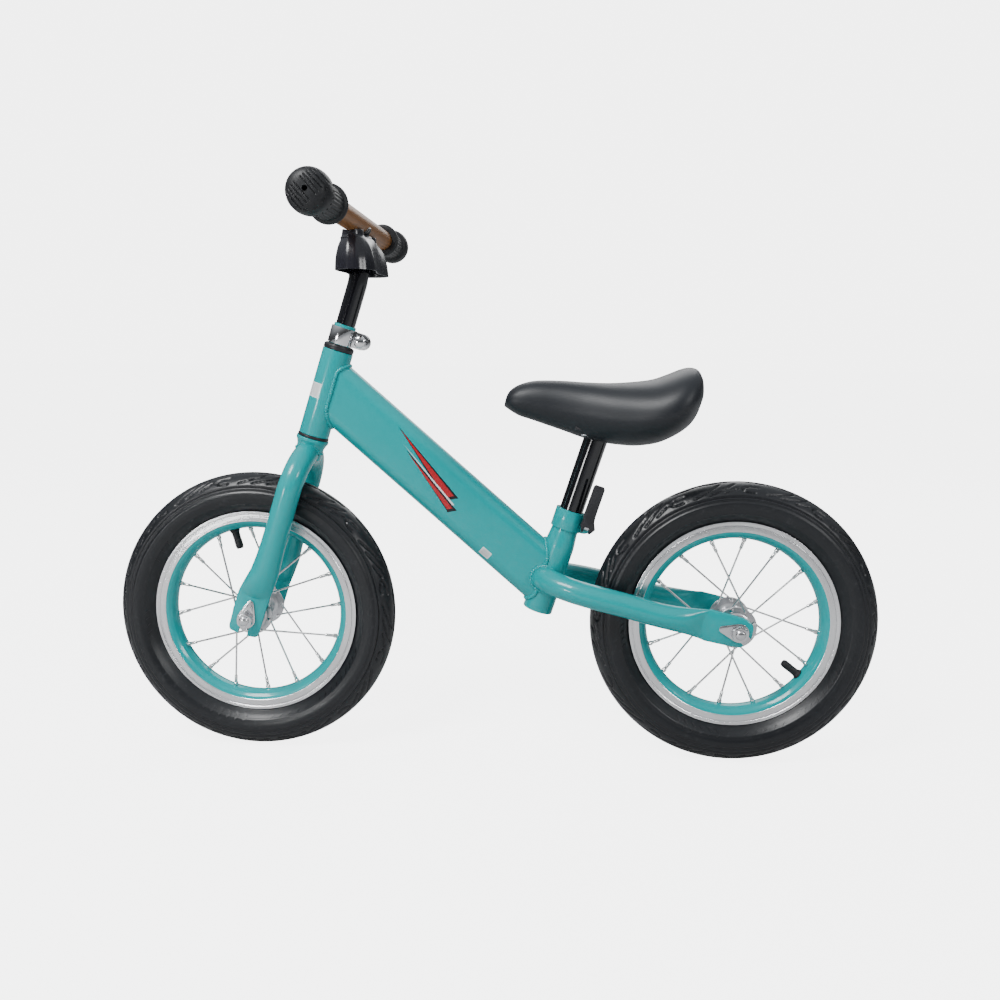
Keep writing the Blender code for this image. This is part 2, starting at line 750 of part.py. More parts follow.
def split_clamp(name, frame, bore, outer, low, high, ear_reach, bolt_x, ear_round, finish_material):
    """Split band round a tube, with two ears at the back and a cross hole for the bolt."""
    middle, half = (low + high) / 2, (high - low) / 2
    band = turned(
        name, ring(outer, bore, low, high), 24, finish_material=finish_material, parent=frame
    )
    ear_outline = [(0.0, -half + 0.0004), (ear_reach - ear_round, -half + 0.0004)]
    ear_outline += arc((ear_reach - ear_round, 0), half - 0.0004, -math.pi / 2, math.pi / 2, 8)[1:-1]
    ear_outline += [(ear_reach - ear_round, half - 0.0004), (0.0, half - 0.0004)]
    ears = outline_plate(
        name + "_ears_tool", [ear_outline], 0.0094, parent=frame, location=(0, 0, middle),
        rotation=(math.pi / 2, 0, 0), cutter=True,
    )
    combine(band, ears, "UNION")
    core = cylinder(name + "_bore_tool", bore, 0.08, segments=24, parent=frame, location=(0, 0, middle), cutter=True)
    slit = box(
        name + "_slit_tool", (bore - 0.003, -0.0012, low - 0.01), (0.06, 0.0012, high + 0.01),
        parent=frame, cutter=True,
    )
    hole = cylinder(
        name + "_hole_tool", 0.0029, 0.04, axis="Y", segments=16, parent=frame,
        location=(bolt_x, 0, middle), cutter=True,
    )
    return cut(band, core, slit, hole)


def stem_clamp(frame):
    low, high, bolt_x = 0.0990, 0.1165, 0.0205
    split_clamp(
        "stem_clamp", frame, STEERER_RADIUS + GAP, 0.0134, low, high, 0.0305, bolt_x,
        (high - low) / 2, chrome(),
    )
    middle = (low + high) / 2
    bolt = [
        (0, -0.0105), (0.0035, -0.0105), (0.0064, -0.0088), (0.0064, -0.0050), (0.0026, -0.0050),
        (0.0026, 0.0125), (0, 0.0125),
    ]
    turned(
        "stem_clamp_bolt", list(reversed(bolt)), 20, closed=False, finish_material=chrome(), parent=frame,
        location=(bolt_x, 0, middle), rotation=(-math.pi / 2, 0, 0),
    )
    outline_plate(
        "stem_clamp_nut", [hexagon(0.0100), arc((0, 0), 0.0026 + GAP, 0, 2 * math.pi, 12)[:-1]], 0.0050,
        finish_material=chrome(), parent=frame, location=(bolt_x, 0.0075, middle),
        rotation=(math.pi / 2, 0, 0),
    )


# ---------------------------------------------------------------- handlebar
def stem_path():
    """Centreline of the stem in the steering frame: straight, then bent forward to upright."""
    centre_x = -STEM_BEND_RADIUS
    path = [Vector((0, 0, STEM_FOOT)), Vector((0, 0, 0.10)), Vector((0, 0, STEM_BEND_START))]
    for i in range(1, 5):
        a = HEAD_ANGLE * i / 4
        path.append(
            Vector((centre_x + STEM_BEND_RADIUS * math.cos(a), 0, STEM_BEND_START + STEM_BEND_RADIUS * math.sin(a)))
        )
    upright = Vector((-math.sin(HEAD_ANGLE), 0, math.cos(HEAD_ANGLE)))
    reach = (BAR_HEIGHT - path[-1].z) / upright.z
    path.append(path[-1] + upright * reach)
    return path


def stem(frame, bar_tool):
    path = stem_path()
    headings = tangents(path)
    headings[0] = Vector((0, 0, 1))
    headings[-1] = (path[-1] - path[-2]).normalized()
    fore = Vector((-1, 0, 0))
    side = Vector((0, 1, 0))
    outer = [section(p, h, side, STEM_RADIUS, STEM_RADIUS, 16) for p, h in zip(path, headings)]
    bore = STEM_RADIUS - STEM_WALL
    inner = [section(p, h, side, bore, bore, 16) for p, h in zip(path[:-1], headings[:-1])]
    inner.append(section(path[-1] - headings[-1] * 0.012, headings[-1], side, bore, bore, 16))
    tube = loft("stem_tube", outer, inner, finish_material=black_gloss(), parent=frame)
    return cut(tube, bar_tool)


def handlebar(frame):
    centre = stem_path()[-1]
    bar = turned(
        "handlebar_tube", ring(BAR_RADIUS, BAR_RADIUS - BAR_WALL, -BAR_HALF_LENGTH, BAR_HALF_LENGTH),
        finish_material=bronze_paint(), parent=frame, location=centre, rotation=(-math.pi / 2, 0, 0),
    )
    tool = cylinder(
        "bar_tool", BAR_RADIUS + GAP, 0.12, axis="Y", segments=32, parent=frame, location=centre, cutter=True
    )
    for label, side in (("left", -1), ("right", 1)):
        grip(label, side, frame, centre)
    return bar, tool


def grip(label, side, frame, centre):
    """Rubber grip with an inner flange, a barrel and a domed end with a small vent hole."""
    bore, start, end = BAR_RADIUS + GAP, GRIP_INNER_END, GRIP_OUTER_END
    ball_radius, ball_start = 0.0196, end - 0.026
    outer = [
        (0.0165, start), (0.0182, start + 0.0015), (0.0182, start + 0.0055), (0.0150, start + 0.0080),
        (0.0150, ball_start - 0.0020), (ball_radius, ball_start + 0.0040), (0.0188, end - 0.0100),
        (0.0150, end - 0.0035), (0.0022, end),
    ]
    inner = [(0.0022, BAR_HALF_LENGTH + 0.0004), (bore, BAR_HALF_LENGTH + 0.0004), (bore, start)]
    profile = list(reversed(outer)) + list(reversed(inner))
    turn = (-math.pi / 2 * side, 0, 0)
    return turned(
        f"grip_{label}", profile, 20, finish_material=grip_rubber(), parent=frame, location=centre, rotation=turn
    )


def cover_ring(height, spread, lobe, waist, shift, steps=6):
    """Level outline of the stem cover: two round lobes, joined by sides that draw in to a waist."""
    ring_points = []
    for end in (1, -1):
        for i in range(steps + 1):
            a = math.pi * i / steps
            ring_points.append(Vector((shift + end * lobe * math.cos(a), end * (spread + lobe * math.sin(a)), height)))
        for part in (0.6, 0.2, -0.2, -0.6):
            x = lobe + (waist - lobe) * math.cos(math.pi / 2 * part) ** 2
            ring_points.append(Vector((shift - end * x, end * spread * part, height)))
    return ring_points


def stem_cover(frame, bar_tool):
    """Hollow moulded cover under the bar, open below: a neck on the stem between two domed lobes."""
    top = stem_path()[-1]
    top_world = frame.matrix_world @ top
    upright_turn = (0, -HEAD_ANGLE, 0)
    wall, steps = 0.0015, 6
    bore = (STEM_RADIUS + GAP) / math.cos(math.pi / 2 / steps)  # the flats of the outline clear the stem
    neck = bore + 0.0014
    # height, lobe centres from the middle, lobe radius, waist, shift back
    levels = [
        (-0.0122, 0.0004, neck, neck, 0.0), (-0.0140, 0.0020, neck + 0.0004, neck + 0.0004, 0.0004),
        (-0.0160, 0.0325, 0.0108, 0.0136, 0.0012), (-0.0195, 0.0330, 0.0134, 0.0143, 0.0018),
        (-0.0265, 0.0335, 0.0169, 0.0151, 0.0026), (-0.0370, 0.0340, 0.0195, 0.0158, 0.0031),
        (-0.0490, 0.0340, 0.0206, 0.0164, 0.0035),
    ]
    outer = [cover_ring(*level) for level in levels]
    inner = [cover_ring(-0.0122, 0.0004, bore, bore, 0.0), cover_ring(-0.0160, 0.0010, bore, bore, 0.0)]
    for height, spread, lobe, waist, shift in levels[3:]:
        inner.append(cover_ring(
            height - (wall if height > -0.0490 else 0), spread, lobe - wall, max(waist - wall, bore), shift
        ))
    rings = outer + list(reversed(inner))
    count, total = len(rings[0]), len(rings)
    faces = []
    for r in range(total):
        for i in range(count):
            j, s = (i + 1) % count, (r + 1) % total
            faces.append((r * count + i, r * count + j, s * count + j, s * count + i))
    obj = mesh_object("stem_cover", [p for one in rings for p in one], faces)
    bm = bmesh.new()
    bm.from_mesh(obj.data)
    bmesh.ops.recalc_face_normals(bm, faces=bm.faces)
    bm.to_mesh(obj.data)
    bm.free()
    cover = finish(obj, finish_material=black_gloss(), parent=frame, location=top, rotation=upright_turn)
    # Each lobe has a neck of its own that reaches up and cups the underside of the bar.
    for label, side in (("left", -1), ("right", 1)):
        lobe_neck = cylinder(
            f"cover_neck_tool_{label}", 0.0108, 0.0150, segments=16, cutter=True,
            location=top_world + Vector((0.0006, side * 0.0328, -0.0150)),
        )
        combine(cover, lobe_neck, "UNION")
    return cut(cover, bar_tool)


# ---------------------------------------------------------------- seat
SADDLE_SECTIONS = [
    # x, top, underside, half-width
    (0.0110, 0.3790, 0.3715, 0.0095), (0.0145, 0.3870, 0.3690, 0.0155), (0.0250, 0.3958, 0.3650, 0.0205),
    (0.0440, 0.4008, 0.3597, 0.0235), (0.0700, 0.4010, 0.3515, 0.0270), (0.0950, 0.3995, 0.3445, 0.0340),
    (0.1210, 0.3992, 0.3400, 0.0450), (0.1465, 0.4010, 0.3390, 0.0580), (0.1670, 0.4045, 0.3418, 0.0650),
    (0.1845, 0.4110, 0.3490, 0.0655), (0.1980, 0.4158, 0.3595, 0.0590), (0.2060, 0.4140, 0.3700, 0.0470),
    (0.2105, 0.4055, 0.3815, 0.0270),
]


def saddle_ring(x, top, underside, half_width, points=16):
    """Section of the saddle: crowned top, round shoulders, sides that tuck in to a flat underside."""
    ring_points = []
    middle = underside + 0.42 * (top - underside)
    for i in range(points):
        a = 2 * math.pi * i / points
        up = math.sin(a)
        power = 0.75 if up > 0 else 0.55
        across = half_width * math.copysign(abs(math.cos(a)) ** power, math.cos(a))
        height = middle + (top - middle) * up if up > 0 else middle + (middle - underside) * up
        if up < 0:
            across *= 1 - 0.22 * abs(up)
        ring_points.append(Vector((x, across, height)))
    return ring_points


def saddle():
    """Foam saddle with a pocket in its underside that takes the plastic pan."""
    body = loft("saddle", [saddle_ring(*one) for one in SADDLE_SECTIONS], finish_material=saddle_skin())
    pocket_top, low_x, high_x, half = 0.3560, 0.084, 0.166, 0.0240
    pocket = box(
        "saddle_pocket_tool", (low_x, -half, 0.32), (high_x, half, pocket_top), cutter=True
    )
    cut(body, pocket)
    pan_top = pocket_top - GAP
    pan_low = pan_top - 0.0040
    box(
        "saddle_pan", (low_x + GAP, -half + GAP, pan_low), (high_x - GAP, half - GAP, pan_top),
        finish_material=black_plastic(),
    )
    return pan_low


def seat_post(frame, pan_low):
    """Hollow post whose top is cut level under its plate, with the plate and its four screws."""
    top = 0.120
    low = SEAT_TUBE_LENGTH - SEAT_POST_INSERTED
    post = turned(
        "seat_post",
        ring(SEAT_POST_RADIUS, SEAT_POST_RADIUS - 0.0016, low, SEAT_TUBE_LENGTH + top),
        finish_material=black_gloss(), parent=frame,
    )
    plate_top = pan_low - GAP
    plate_low = plate_top - 0.0030
    level = box(
        "post_top_tool", (0, -0.1, plate_low - GAP), (0.3, 0.1, 0.6), cutter=True
    )
    cut(post, level)
    height = (plate_low - SEAT_TUBE_FOOT.z) / math.cos(SEAT_ANGLE)
    centre_x = SEAT_TUBE_FOOT.x + height * math.sin(SEAT_ANGLE)
    half_x, half_y = 0.0180, 0.0190
    box(
        "seat_post_plate", (centre_x - half_x, -half_y, plate_low), (centre_x + half_x, half_y, plate_top),
        finish_material=black_gloss(),
    )
    index = 0
    for dx in (-0.0140, 0.0140):
        for dy in (-0.0150, 0.0150):
            index += 1
            turned(
                f"saddle_screw_{index}",
                [(0, 0), (0.0036, 0), (0.0042, -0.0012), (0.0034, -0.0026), (0, -0.0026)],
                12, closed=False, finish_material=zinc(),
                location=(centre_x + dx, dy, plate_low - GAP),
            )


def seat_clamp(frame):
    """Split collar with its skewer, nut, cam pin and quick-release lever on the left."""
    low, high, skewer_x = 0.0925, 0.1127, 0.0202
    middle = (low + high) / 2
    split_clamp(
        "seat_clamp_collar", frame, SEAT_TUBE_NECK_RADIUS + GAP, 0.0160, low, high, 0.0275, skewer_x,
        (high - low) / 2, teal_paint(),
    )
    cylinder(
        "seat_clamp_skewer", 0.0024, 0.0260, axis="Y", segments=16, finish_material=zinc(), parent=frame,
        location=(skewer_x, 0.0010, middle),
    )
    nut = [(0.0038, 0.0120), (0.0046, 0.0108), (0.0046, 0.0052), (0.0027, 0.0052), (0.0027, 0.0120)]
    turned(
        "seat_clamp_nut", nut, 16, finish_material=black_plastic(), parent=frame,
        location=(skewer_x, 0, middle), rotation=(-math.pi / 2, 0, 0),
    )
    turned(
        "lever_cam_seat", ring(0.0046, 0.0027, -0.0092, -0.0050), 16, finish_material=black_plastic(),
        parent=frame, location=(skewer_x, 0, middle), rotation=(-math.pi / 2, 0, 0),
    )
    pivot_y = -0.0157
    cylinder(
        "lever_pin", 0.0030, 0.0104, axis="X", segments=16, finish_material=zinc(), parent=frame,
        location=(skewer_x, pivot_y, middle),
    )
    lever(frame, Vector((skewer_x, pivot_y, middle)))


def lever(frame, pivot):
    """Lever with a forked round cam at its foot, curving up beside the post."""
    half_width, slot_half = 0.0086, 0.0029
    # Side outline in (outward, up) about the pivot: cam at the origin, blade rising and leaning outward.
    outline = arc((0, 0), 0.0062, math.radians(150), math.radians(355), 12)
    outline += [(0.0066, 0.0060), (0.0062, 0.0180), (0.0085, 0.0320), (0.0100, 0.0430)]
    outline += arc((0.0078, 0.0440), 0.0024, 0.0, math.radians(150), 4)
    outline += [(0.0044, 0.0330), (0.0014, 0.0190), (-0.0006, 0.0100)]
    blade = outline_plate(
        "quick_release_lever", [outline], 2 * half_width, finish_material=black_plastic(), parent=frame,
        location=pivot,
    )
    # Outline X points to the rider's left, outline Y up the seat tube.
    blade.matrix_local = Matrix.Translation(pivot) @ Matrix(
        ((0, 0, -1, 0), (-1, 0, 0, 0), (0, 1, 0, 0), (0, 0, 0, 1))
    )
    # Seen from the side the foot is a diamond, and the blade is narrower with a round end.
    silhouette = [
        (-0.0072, 0.0008), (-0.0040, -0.0062), (0.0002, -0.0090), (0.0046, -0.0058), (0.0085, 0.0010),
        (0.0052, 0.0080), (0.0046, 0.0140), (0.0042, 0.0440), (0.0024, 0.0466), (-0.0058, 0.0466),
        (-0.0076, 0.0440), (-0.0076, 0.0130), (-0.0066, 0.0070),
    ]
    side_view = outline_plate("lever_side_tool", [silhouette], 0.06, parent=frame, location=pivot, cutter=True)
    side_view.matrix_local = Matrix.Translation(pivot) @ Matrix(
        ((1, 0, 0, 0), (0, 0, -1, 0), (0, 1, 0, 0), (0, 0, 0, 1))
    )
    combine(blade, side_view, "INTERSECT")
    eye = cylinder(
        "lever_eye_tool", 0.0030 + GAP, 0.03, axis="X", segments=16, parent=frame, location=pivot, cutter=True
    )
    fork_slot = box(
        "lever_slot_tool", pivot + Vector((-slot_half, -0.005, -0.0090)),
        pivot + Vector((slot_half, 0.02, 0.0090)), parent=frame, cutter=True,
    )
    # The fork is also open below, so that the skewer has room when the lever hangs open.
    lower_slot = box(
        "lever_lower_slot_tool", pivot + Vector((-slot_half, -0.0090, -0.0090)),
        pivot + Vector((slot_half, 0.0010, 0.0008)), parent=frame, cutter=True,
    )
    return cut(blade, eye, fork_slot, lower_slot)


# ---------------------------------------------------------------- assembly
def build():
    clear_scene()
    steering = steering_frame()
    seat = frame_empty("seat_frame", SEAT_TUBE_FOOT, (0, SEAT_ANGLE, 0))
    front = wheel_frame("front_wheel_frame", -WHEELBASE / 2)
    rear = wheel_frame("rear_wheel_frame", WHEELBASE / 2)

    head_tube(steering)
    seat_tube(seat)
    skin_tool, seat_tool = down_tube(steering, seat)
    for label, side in (("left", -1), ("right", 1)):
        chainstay(label, side, (skin_tool, seat_tool))
        fork_leg(label, side, steering)
    headset(steering)
    steerer(steering)
    stem_clamp(steering)

    _, bar_tool = handlebar(steering)
    stem(steering, bar_tool)
    stem_cover(steering, bar_tool)

    wheel("front", front, FRONT_VALVE_ANGLE, FRONT_SPOKE_PHASE)
    wheel("rear", rear, REAR_VALVE_ANGLE, REAR_SPOKE_PHASE)
    front_tab = -(math.pi / 2 - HEAD_ANGLE)
    rear_tab = math.pi + math.radians(12.2)
    axle_set("front", front, front_tab, 0.0175)
    axle_set("rear", rear, rear_tab, 0.0175)

    pan_low = saddle()
    seat_post(seat, pan_low)
    seat_clamp(seat)


build()
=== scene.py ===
"""The finished look of a balance bike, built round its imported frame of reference."""

import json
import math

import bmesh
import bpy
import numpy as np
from mathutils import Matrix, Vector


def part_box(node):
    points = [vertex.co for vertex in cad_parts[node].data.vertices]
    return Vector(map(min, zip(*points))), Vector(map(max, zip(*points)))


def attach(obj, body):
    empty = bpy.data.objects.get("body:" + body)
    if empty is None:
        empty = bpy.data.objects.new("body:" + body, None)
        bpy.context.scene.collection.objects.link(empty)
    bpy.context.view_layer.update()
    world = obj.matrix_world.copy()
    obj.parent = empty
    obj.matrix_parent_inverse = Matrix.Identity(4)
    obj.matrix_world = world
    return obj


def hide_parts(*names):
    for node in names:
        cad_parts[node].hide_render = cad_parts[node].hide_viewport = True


bl_info = {
    "name": "Balance Bike",
    "version": (1, 0, 0),
    "blender": (4, 5, 0),
    "location": "3D View > Sidebar > Balance Bike",
    "description": "Builds the visible pieces of a balance bike round its packed model",
    "category": "Add Mesh",
}

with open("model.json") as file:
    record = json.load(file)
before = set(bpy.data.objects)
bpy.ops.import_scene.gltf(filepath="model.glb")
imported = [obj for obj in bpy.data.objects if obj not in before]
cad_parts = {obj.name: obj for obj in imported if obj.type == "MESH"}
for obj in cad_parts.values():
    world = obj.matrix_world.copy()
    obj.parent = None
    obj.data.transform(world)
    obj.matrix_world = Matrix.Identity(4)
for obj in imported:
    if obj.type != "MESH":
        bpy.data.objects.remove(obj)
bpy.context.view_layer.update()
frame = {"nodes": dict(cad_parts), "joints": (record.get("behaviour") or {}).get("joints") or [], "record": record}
JOINTS = {joint["name"]: joint for joint in frame["joints"]}

# ---------------------------------------------------------------- frames of reference
STEERING, SADDLE_SLIDE = JOINTS["steering"], JOINTS["saddle_height"]
HEAD_ANGLE = math.atan2(STEERING["axis"][0], STEERING["axis"][2])
SEAT_ANGLE = math.atan2(SADDLE_SLIDE["axis"][0], SADDLE_SLIDE["axis"][2])
HEAD = Matrix.Translation(STEERING["pos_m"]) @ Matrix.Rotation(HEAD_ANGLE, 4, "Y")
MOUNT_TO_AXIS = 0.0139  # from the mount's point on the seat tube's foot to the tube's axis
SEAT_FOOT = Vector(frame["record"]["mounts"][0]["pos_m"]) + MOUNT_TO_AXIS * Vector(
    (math.cos(SEAT_ANGLE), 0, -math.sin(SEAT_ANGLE))
)
SEAT = Matrix.Translation(SEAT_FOOT) @ Matrix.Rotation(SEAT_ANGLE, 4, "Y")
ACROSS = Matrix.Rotation(-math.pi / 2, 4, "X")  # lays a turned shape's axis across the bike
AXLES = {end: Vector(JOINTS[end + "_wheel_spin"]["pos_m"]) for end in ("front", "rear")}
WHEELS = {end: Matrix.Translation(at) @ ACROSS for end, at in AXLES.items()}
VALVES = {"front": math.radians(105.6), "rear": math.radians(-37.7)}
TREAD_TURNS = {"front": math.radians(14.0), "rear": 0.0}
SPOKE_PHASES = {"front": math.radians(27.5), "rear": math.radians(-28.5)}
BAR_CENTRE = HEAD @ Vector((-0.015436, 0, 0.2207))
SIDES = (("left", -1), ("right", 1))


# ---------------------------------------------------------------- settings
def length(name, default, description):
    """A setting that is a length in metres."""
    return bpy.props.FloatProperty(
        name=name, default=default, description=description,
        subtype="DISTANCE", unit="LENGTH", min=0.0,
    )


def colour(name, default, description):
    """A setting that is a linear colour."""
    return bpy.props.FloatVectorProperty(
        name=name, default=default, description=description,
        subtype="COLOR", size=3, min=0.0, max=1.0,
    )


class BikeColours(bpy.types.PropertyGroup):
    """Colours of the bike's finishes."""

    paint: colour("Frame paint", (0.0, 0.330, 0.345), "Enamel on the frame, fork and rim beds")
    tube_black: colour("Black enamel", (0.003, 0.003, 0.005), "Enamel on the stem and seat post")
    bar: colour("Handlebar", (0.210, 0.088, 0.024), "Bronze paint on the handlebar")
    tyre: colour("Tyre", (0.004, 0.005, 0.007), "Rubber of the tyres")
    grip: colour("Grip", (0.005, 0.0055, 0.007), "Rubber of the grips")
    saddle: colour("Saddle", (0.005, 0.007, 0.011), "Synthetic skin of the saddle")
    stripe: colour("Stripe", (0.42, 0.012, 0.018), "Main colour of the down tube's stripes")
    label: colour("Label", (0.80, 0.82, 0.82), "Plain labels and the stripes' thin lines")
    floor: colour("Floor", (0.55, 0.55, 0.55), "Studio floor")


class BikeSizes(bpy.types.PropertyGroup):
    """Sizes of the bike's finer detail."""

    tread_depth: length("Tread depth", 0.0016, "Depth of the tyre's grooves")
    tread_width: length("Tread width", 0.0009, "Half the width of a tyre groove")
    tread_repeats: bpy.props.IntProperty(
        name="Tread repeats", default=12, min=4, description="Groups of grooves round a tyre"
    )
    spoke_radius: length("Spoke radius", 0.00105, "Radius of a spoke's wire")
    spokes: bpy.props.IntProperty(
        name="Spokes", default=16, min=8, step=8,
        description="Spokes in a wheel, in four equal sets",
    )
    weld_radius: length("Weld radius", 0.0021, "Radius of a weld bead")
    weld_pitch: length("Weld pitch", 0.0026, "Distance between a weld bead's ripples")
    grip_ribs: bpy.props.IntProperty(
        name="Grip ribs", default=26, min=8, description="Ribs along a grip's barrel"
    )


def colours():
    return bpy.context.scene.bike_colours


def sizes():
    return bpy.context.scene.bike_sizes


# ---------------------------------------------------------------- shader maths
class Value:
    """A shader socket that takes part in Python arithmetic."""

    def __init__(self, finish, socket):
        self.finish, self.socket = finish, socket

    def maths(self, operation, *values):
        return self.finish.node("ShaderNodeMath", {"operation": operation}, values)

    def __add__(self, other):
        return self.maths("ADD", self, other)

    def __radd__(self, other):
        return self.maths("ADD", other, self)

    def __sub__(self, other):
        return self.maths("SUBTRACT", self, other)

    def __rsub__(self, other):
        return self.maths("SUBTRACT", other, self)

    def __mul__(self, other):
        return self.maths("MULTIPLY", self, other)

    def __rmul__(self, other):
        return self.maths("MULTIPLY", other, self)

    def __lt__(self, other):
        return self.maths("LESS_THAN", self, other)

    def __gt__(self, other):
        return self.maths("GREATER_THAN", self, other)

    def clamped(self, low, high):
        """0 below low, 1 above high, and even in between."""
        return self.finish.node(
            "ShaderNodeMapRange", {"clamp": True},
            {"Value": self, "From Min": low, "From Max": high},
        )


class Finish:
    """A node material: its shader's fixed values are set here, and its nodes are added by calls."""

    def __init__(self, name, **fixed):
        self.material = bpy.data.materials.new(name)
        self.material.use_nodes = True
        self.nodes = self.material.node_tree.nodes
        self.links = self.material.node_tree.links
        self.shader = self.nodes["Principled BSDF"]
        for label, value in fixed.items():
            self.shader.inputs[label.replace("_", " ")].default_value = value
        coordinates = self.nodes.new("ShaderNodeTexCoord")
        self.place = Value(self, coordinates.outputs["Object"])

    def node(self, kind, settings, values, output=0):
        made = self.nodes.new(kind)
        for label, value in settings.items():
            setattr(made, label, value)
        pairs = values.items() if isinstance(values, dict) else enumerate(values)
        for key, value in pairs:
            if isinstance(value, Value):
                self.links.new(value.socket, made.inputs[key])
            else:
                made.inputs[key].default_value = value
        return Value(self, made.outputs[output])

    def axes(self):
        apart = self.node("ShaderNodeSeparateXYZ", {}, [self.place]).socket.node
        return [Value(self, apart.outputs[i]) for i in range(3)]

    def noise(self, scale, detail=2.0, roughness=0.5, stretch=None):
        where = self.place
        if stretch:
            where = self.node("ShaderNodeMapping", {}, {"Vector": self.place, "Scale": stretch})
        return self.node(
            "ShaderNodeTexNoise", {},
            {"Vector": where, "Scale": scale, "Detail": detail, "Roughness": roughness},
        )

    def cells(self, scale):
        return self.node(
            "ShaderNodeTexVoronoi", {"feature": "F1"}, {"Vector": self.place, "Scale": scale}
        )

    def mix(self, factor, first, second):
        first, second = [
            value if isinstance(value, Value) else (*value, 1.0) for value in (first, second)
        ]
        return self.node(
            "ShaderNodeMix", {"data_type": "RGBA"}, {0: factor, 6: first, 7: second}, output=2
        )

    def fed(self, label):
        """The value that an input of the shader has been given."""
        return Value(self, self.shader.inputs[label].links[0].from_socket)

    def feed(self, label, value):
        self.links.new(value.socket, self.shader.inputs[label])
        return self

    def bump(self, height, strength, distance):
        bumped = self.node(
            "ShaderNodeBump", {}, {"Strength": strength, "Distance": distance, "Height": height}
        )
        return self.feed("Normal", bumped)


def shade(base, amount):
    """The base colour made lighter or darker."""
    return tuple(min(1.0, channel * amount) for channel in base)


def enamel(name, base, roughness=0.22, coat=0.4):
    """Sprayed gloss enamel: slow drift of tone, fine orange peel, a little dust in the gloss."""
    paint = Finish(name, Coat_Roughness=0.05, Coat_Weight=coat, Specular_IOR_Level=0.3)
    drift = paint.noise(9.0, 3.0)
    specks = paint.noise(900.0, 2.0).clamped(0.70, 0.78)
    tone = paint.mix(drift, shade(base, 0.93), shade(base, 1.06))
    paint.feed("Base Color", paint.mix(specks * 0.25, tone, shade(base, 0.6)))
    paint.feed("Roughness", roughness + drift * 0.06 + specks * 0.15)
    return paint.bump(paint.noise(420.0, 1.0), 0.05, 0.0004)


def frame_enamel():
    return enamel("frame_enamel", colours().paint)


def striped_enamel():
    """The down tube's enamel with slanted pinstripes and a plain label printed on its sides."""
    paint = enamel("striped_enamel", colours().paint)
    x, _, z = paint.axes()
    lean, back, rise = math.radians(40.6), 0.068, 0.302
    along = (x + back) * math.cos(lean) - (z - rise) * math.sin(lean)
    across = (x + back) * math.sin(lean) + (z - rise) * math.cos(lean)

    def wedge(start, end, point, high, low):
        """A stripe that widens from a point at its start to the span between low and high."""
        inside = (along > start) * (along - across * 0.8 < end)
        top = (along - start) * ((high - point) / (end - start)) + point
        foot = (along - start) * ((low - point) / (end - start)) + point
        return inside * (across - top < 0) * (across - foot > 0)

    tone = paint.fed("Base Color")
    dark, bright, pale = shade(colours().tube_black, 1.5), colours().stripe, colours().label
    for start, end, point, high, low, ink in (
        (-0.056, 0.038, 0.0185, 0.0035, -0.0095, dark),
        (-0.052, 0.034, 0.0175, 0.0020, -0.0060, bright),
        (-0.040, 0.046, 0.0080, -0.0058, -0.0085, pale),
        (-0.036, 0.054, 0.0060, -0.0090, -0.0190, dark),
        (-0.030, 0.050, 0.0040, -0.0105, -0.0165, bright),
    ):
        tone = paint.mix(wedge(start, end, point, high, low), tone, ink)
    corner = (along > 0.0935) * (along < 0.1055) * (across > -0.0262) * (across < -0.0180)
    inner = (along > 0.0945) * (along < 0.1045) * (across > -0.0252) * (across < -0.0190)
    tone = paint.mix(corner, tone, pale)
    tone = paint.mix(inner, tone, shade(pale, 0.72))
    return paint.feed("Base Color", tone)


def labelled_enamel():
    """The head tube's enamel with a plain pale label on its front."""
    paint = enamel("labelled_enamel", colours().paint)
    x, _, z = paint.axes()
    back, rise = 0.1768, 0.3860
    along = (x + back) * math.sin(HEAD_ANGLE) + (z - rise) * math.cos(HEAD_ANGLE)
    ahead = (x + back) * math.cos(HEAD_ANGLE) - (z - rise) * math.sin(HEAD_ANGLE)
    shield = (along > -0.0078) * (along < 0.0078) * (ahead < -0.003)
    centre = (along > -0.0064) * (along < 0.0064) * (ahead < -0.005)
    pale = colours().label
    tone = paint.mix(shield, paint.fed("Base Color"), pale)
    return paint.feed("Base Color", paint.mix(shield * centre, tone, shade(pale, 0.86)))


def black_enamel():
    return enamel("black_enamel", colours().tube_black, 0.12, 0.8)


def moulded_plastic(name="moulded_plastic", base=(0.012, 0.012, 0.015), roughness=0.34):
    """Moulded black plastic: fine spark grain and slight unevenness of gloss."""
    plastic = Finish(name, Specular_IOR_Level=0.5)
    drift, grain = plastic.noise(30.0, 3.0), plastic.noise(1400.0, 2.0)
    plastic.feed("Base Color", plastic.mix(drift, shade(base, 0.8), shade(base, 1.4)))
    plastic.feed("Roughness", roughness + drift * 0.12)
    return plastic.bump(grain, 0.12, 0.0003)


def bright_plate(name, base=(0.72, 0.72, 0.74), roughness=0.16, blemish=0.18):
    """Bright plated steel: faint draw lines, dull patches and a few dark pits."""
    plate = Finish(name, Metallic=1.0)
    patches = plate.noise(70.0, 4.0, 0.6)
    lines = plate.noise(260.0, 2.0, 0.5, (1.0, 0.15, 1.0))
    pits = plate.noise(620.0, 2.0).clamped(0.68, 0.76)
    tone = plate.mix(patches, shade(base, 0.80), shade(base, 1.12))
    plate.feed("Base Color", plate.mix(pits * 0.6, tone, shade(base, 0.35)))
    plate.feed("Roughness", roughness + patches * blemish + pits * 0.2)
    return plate.bump(lines, 0.06, 0.0003)


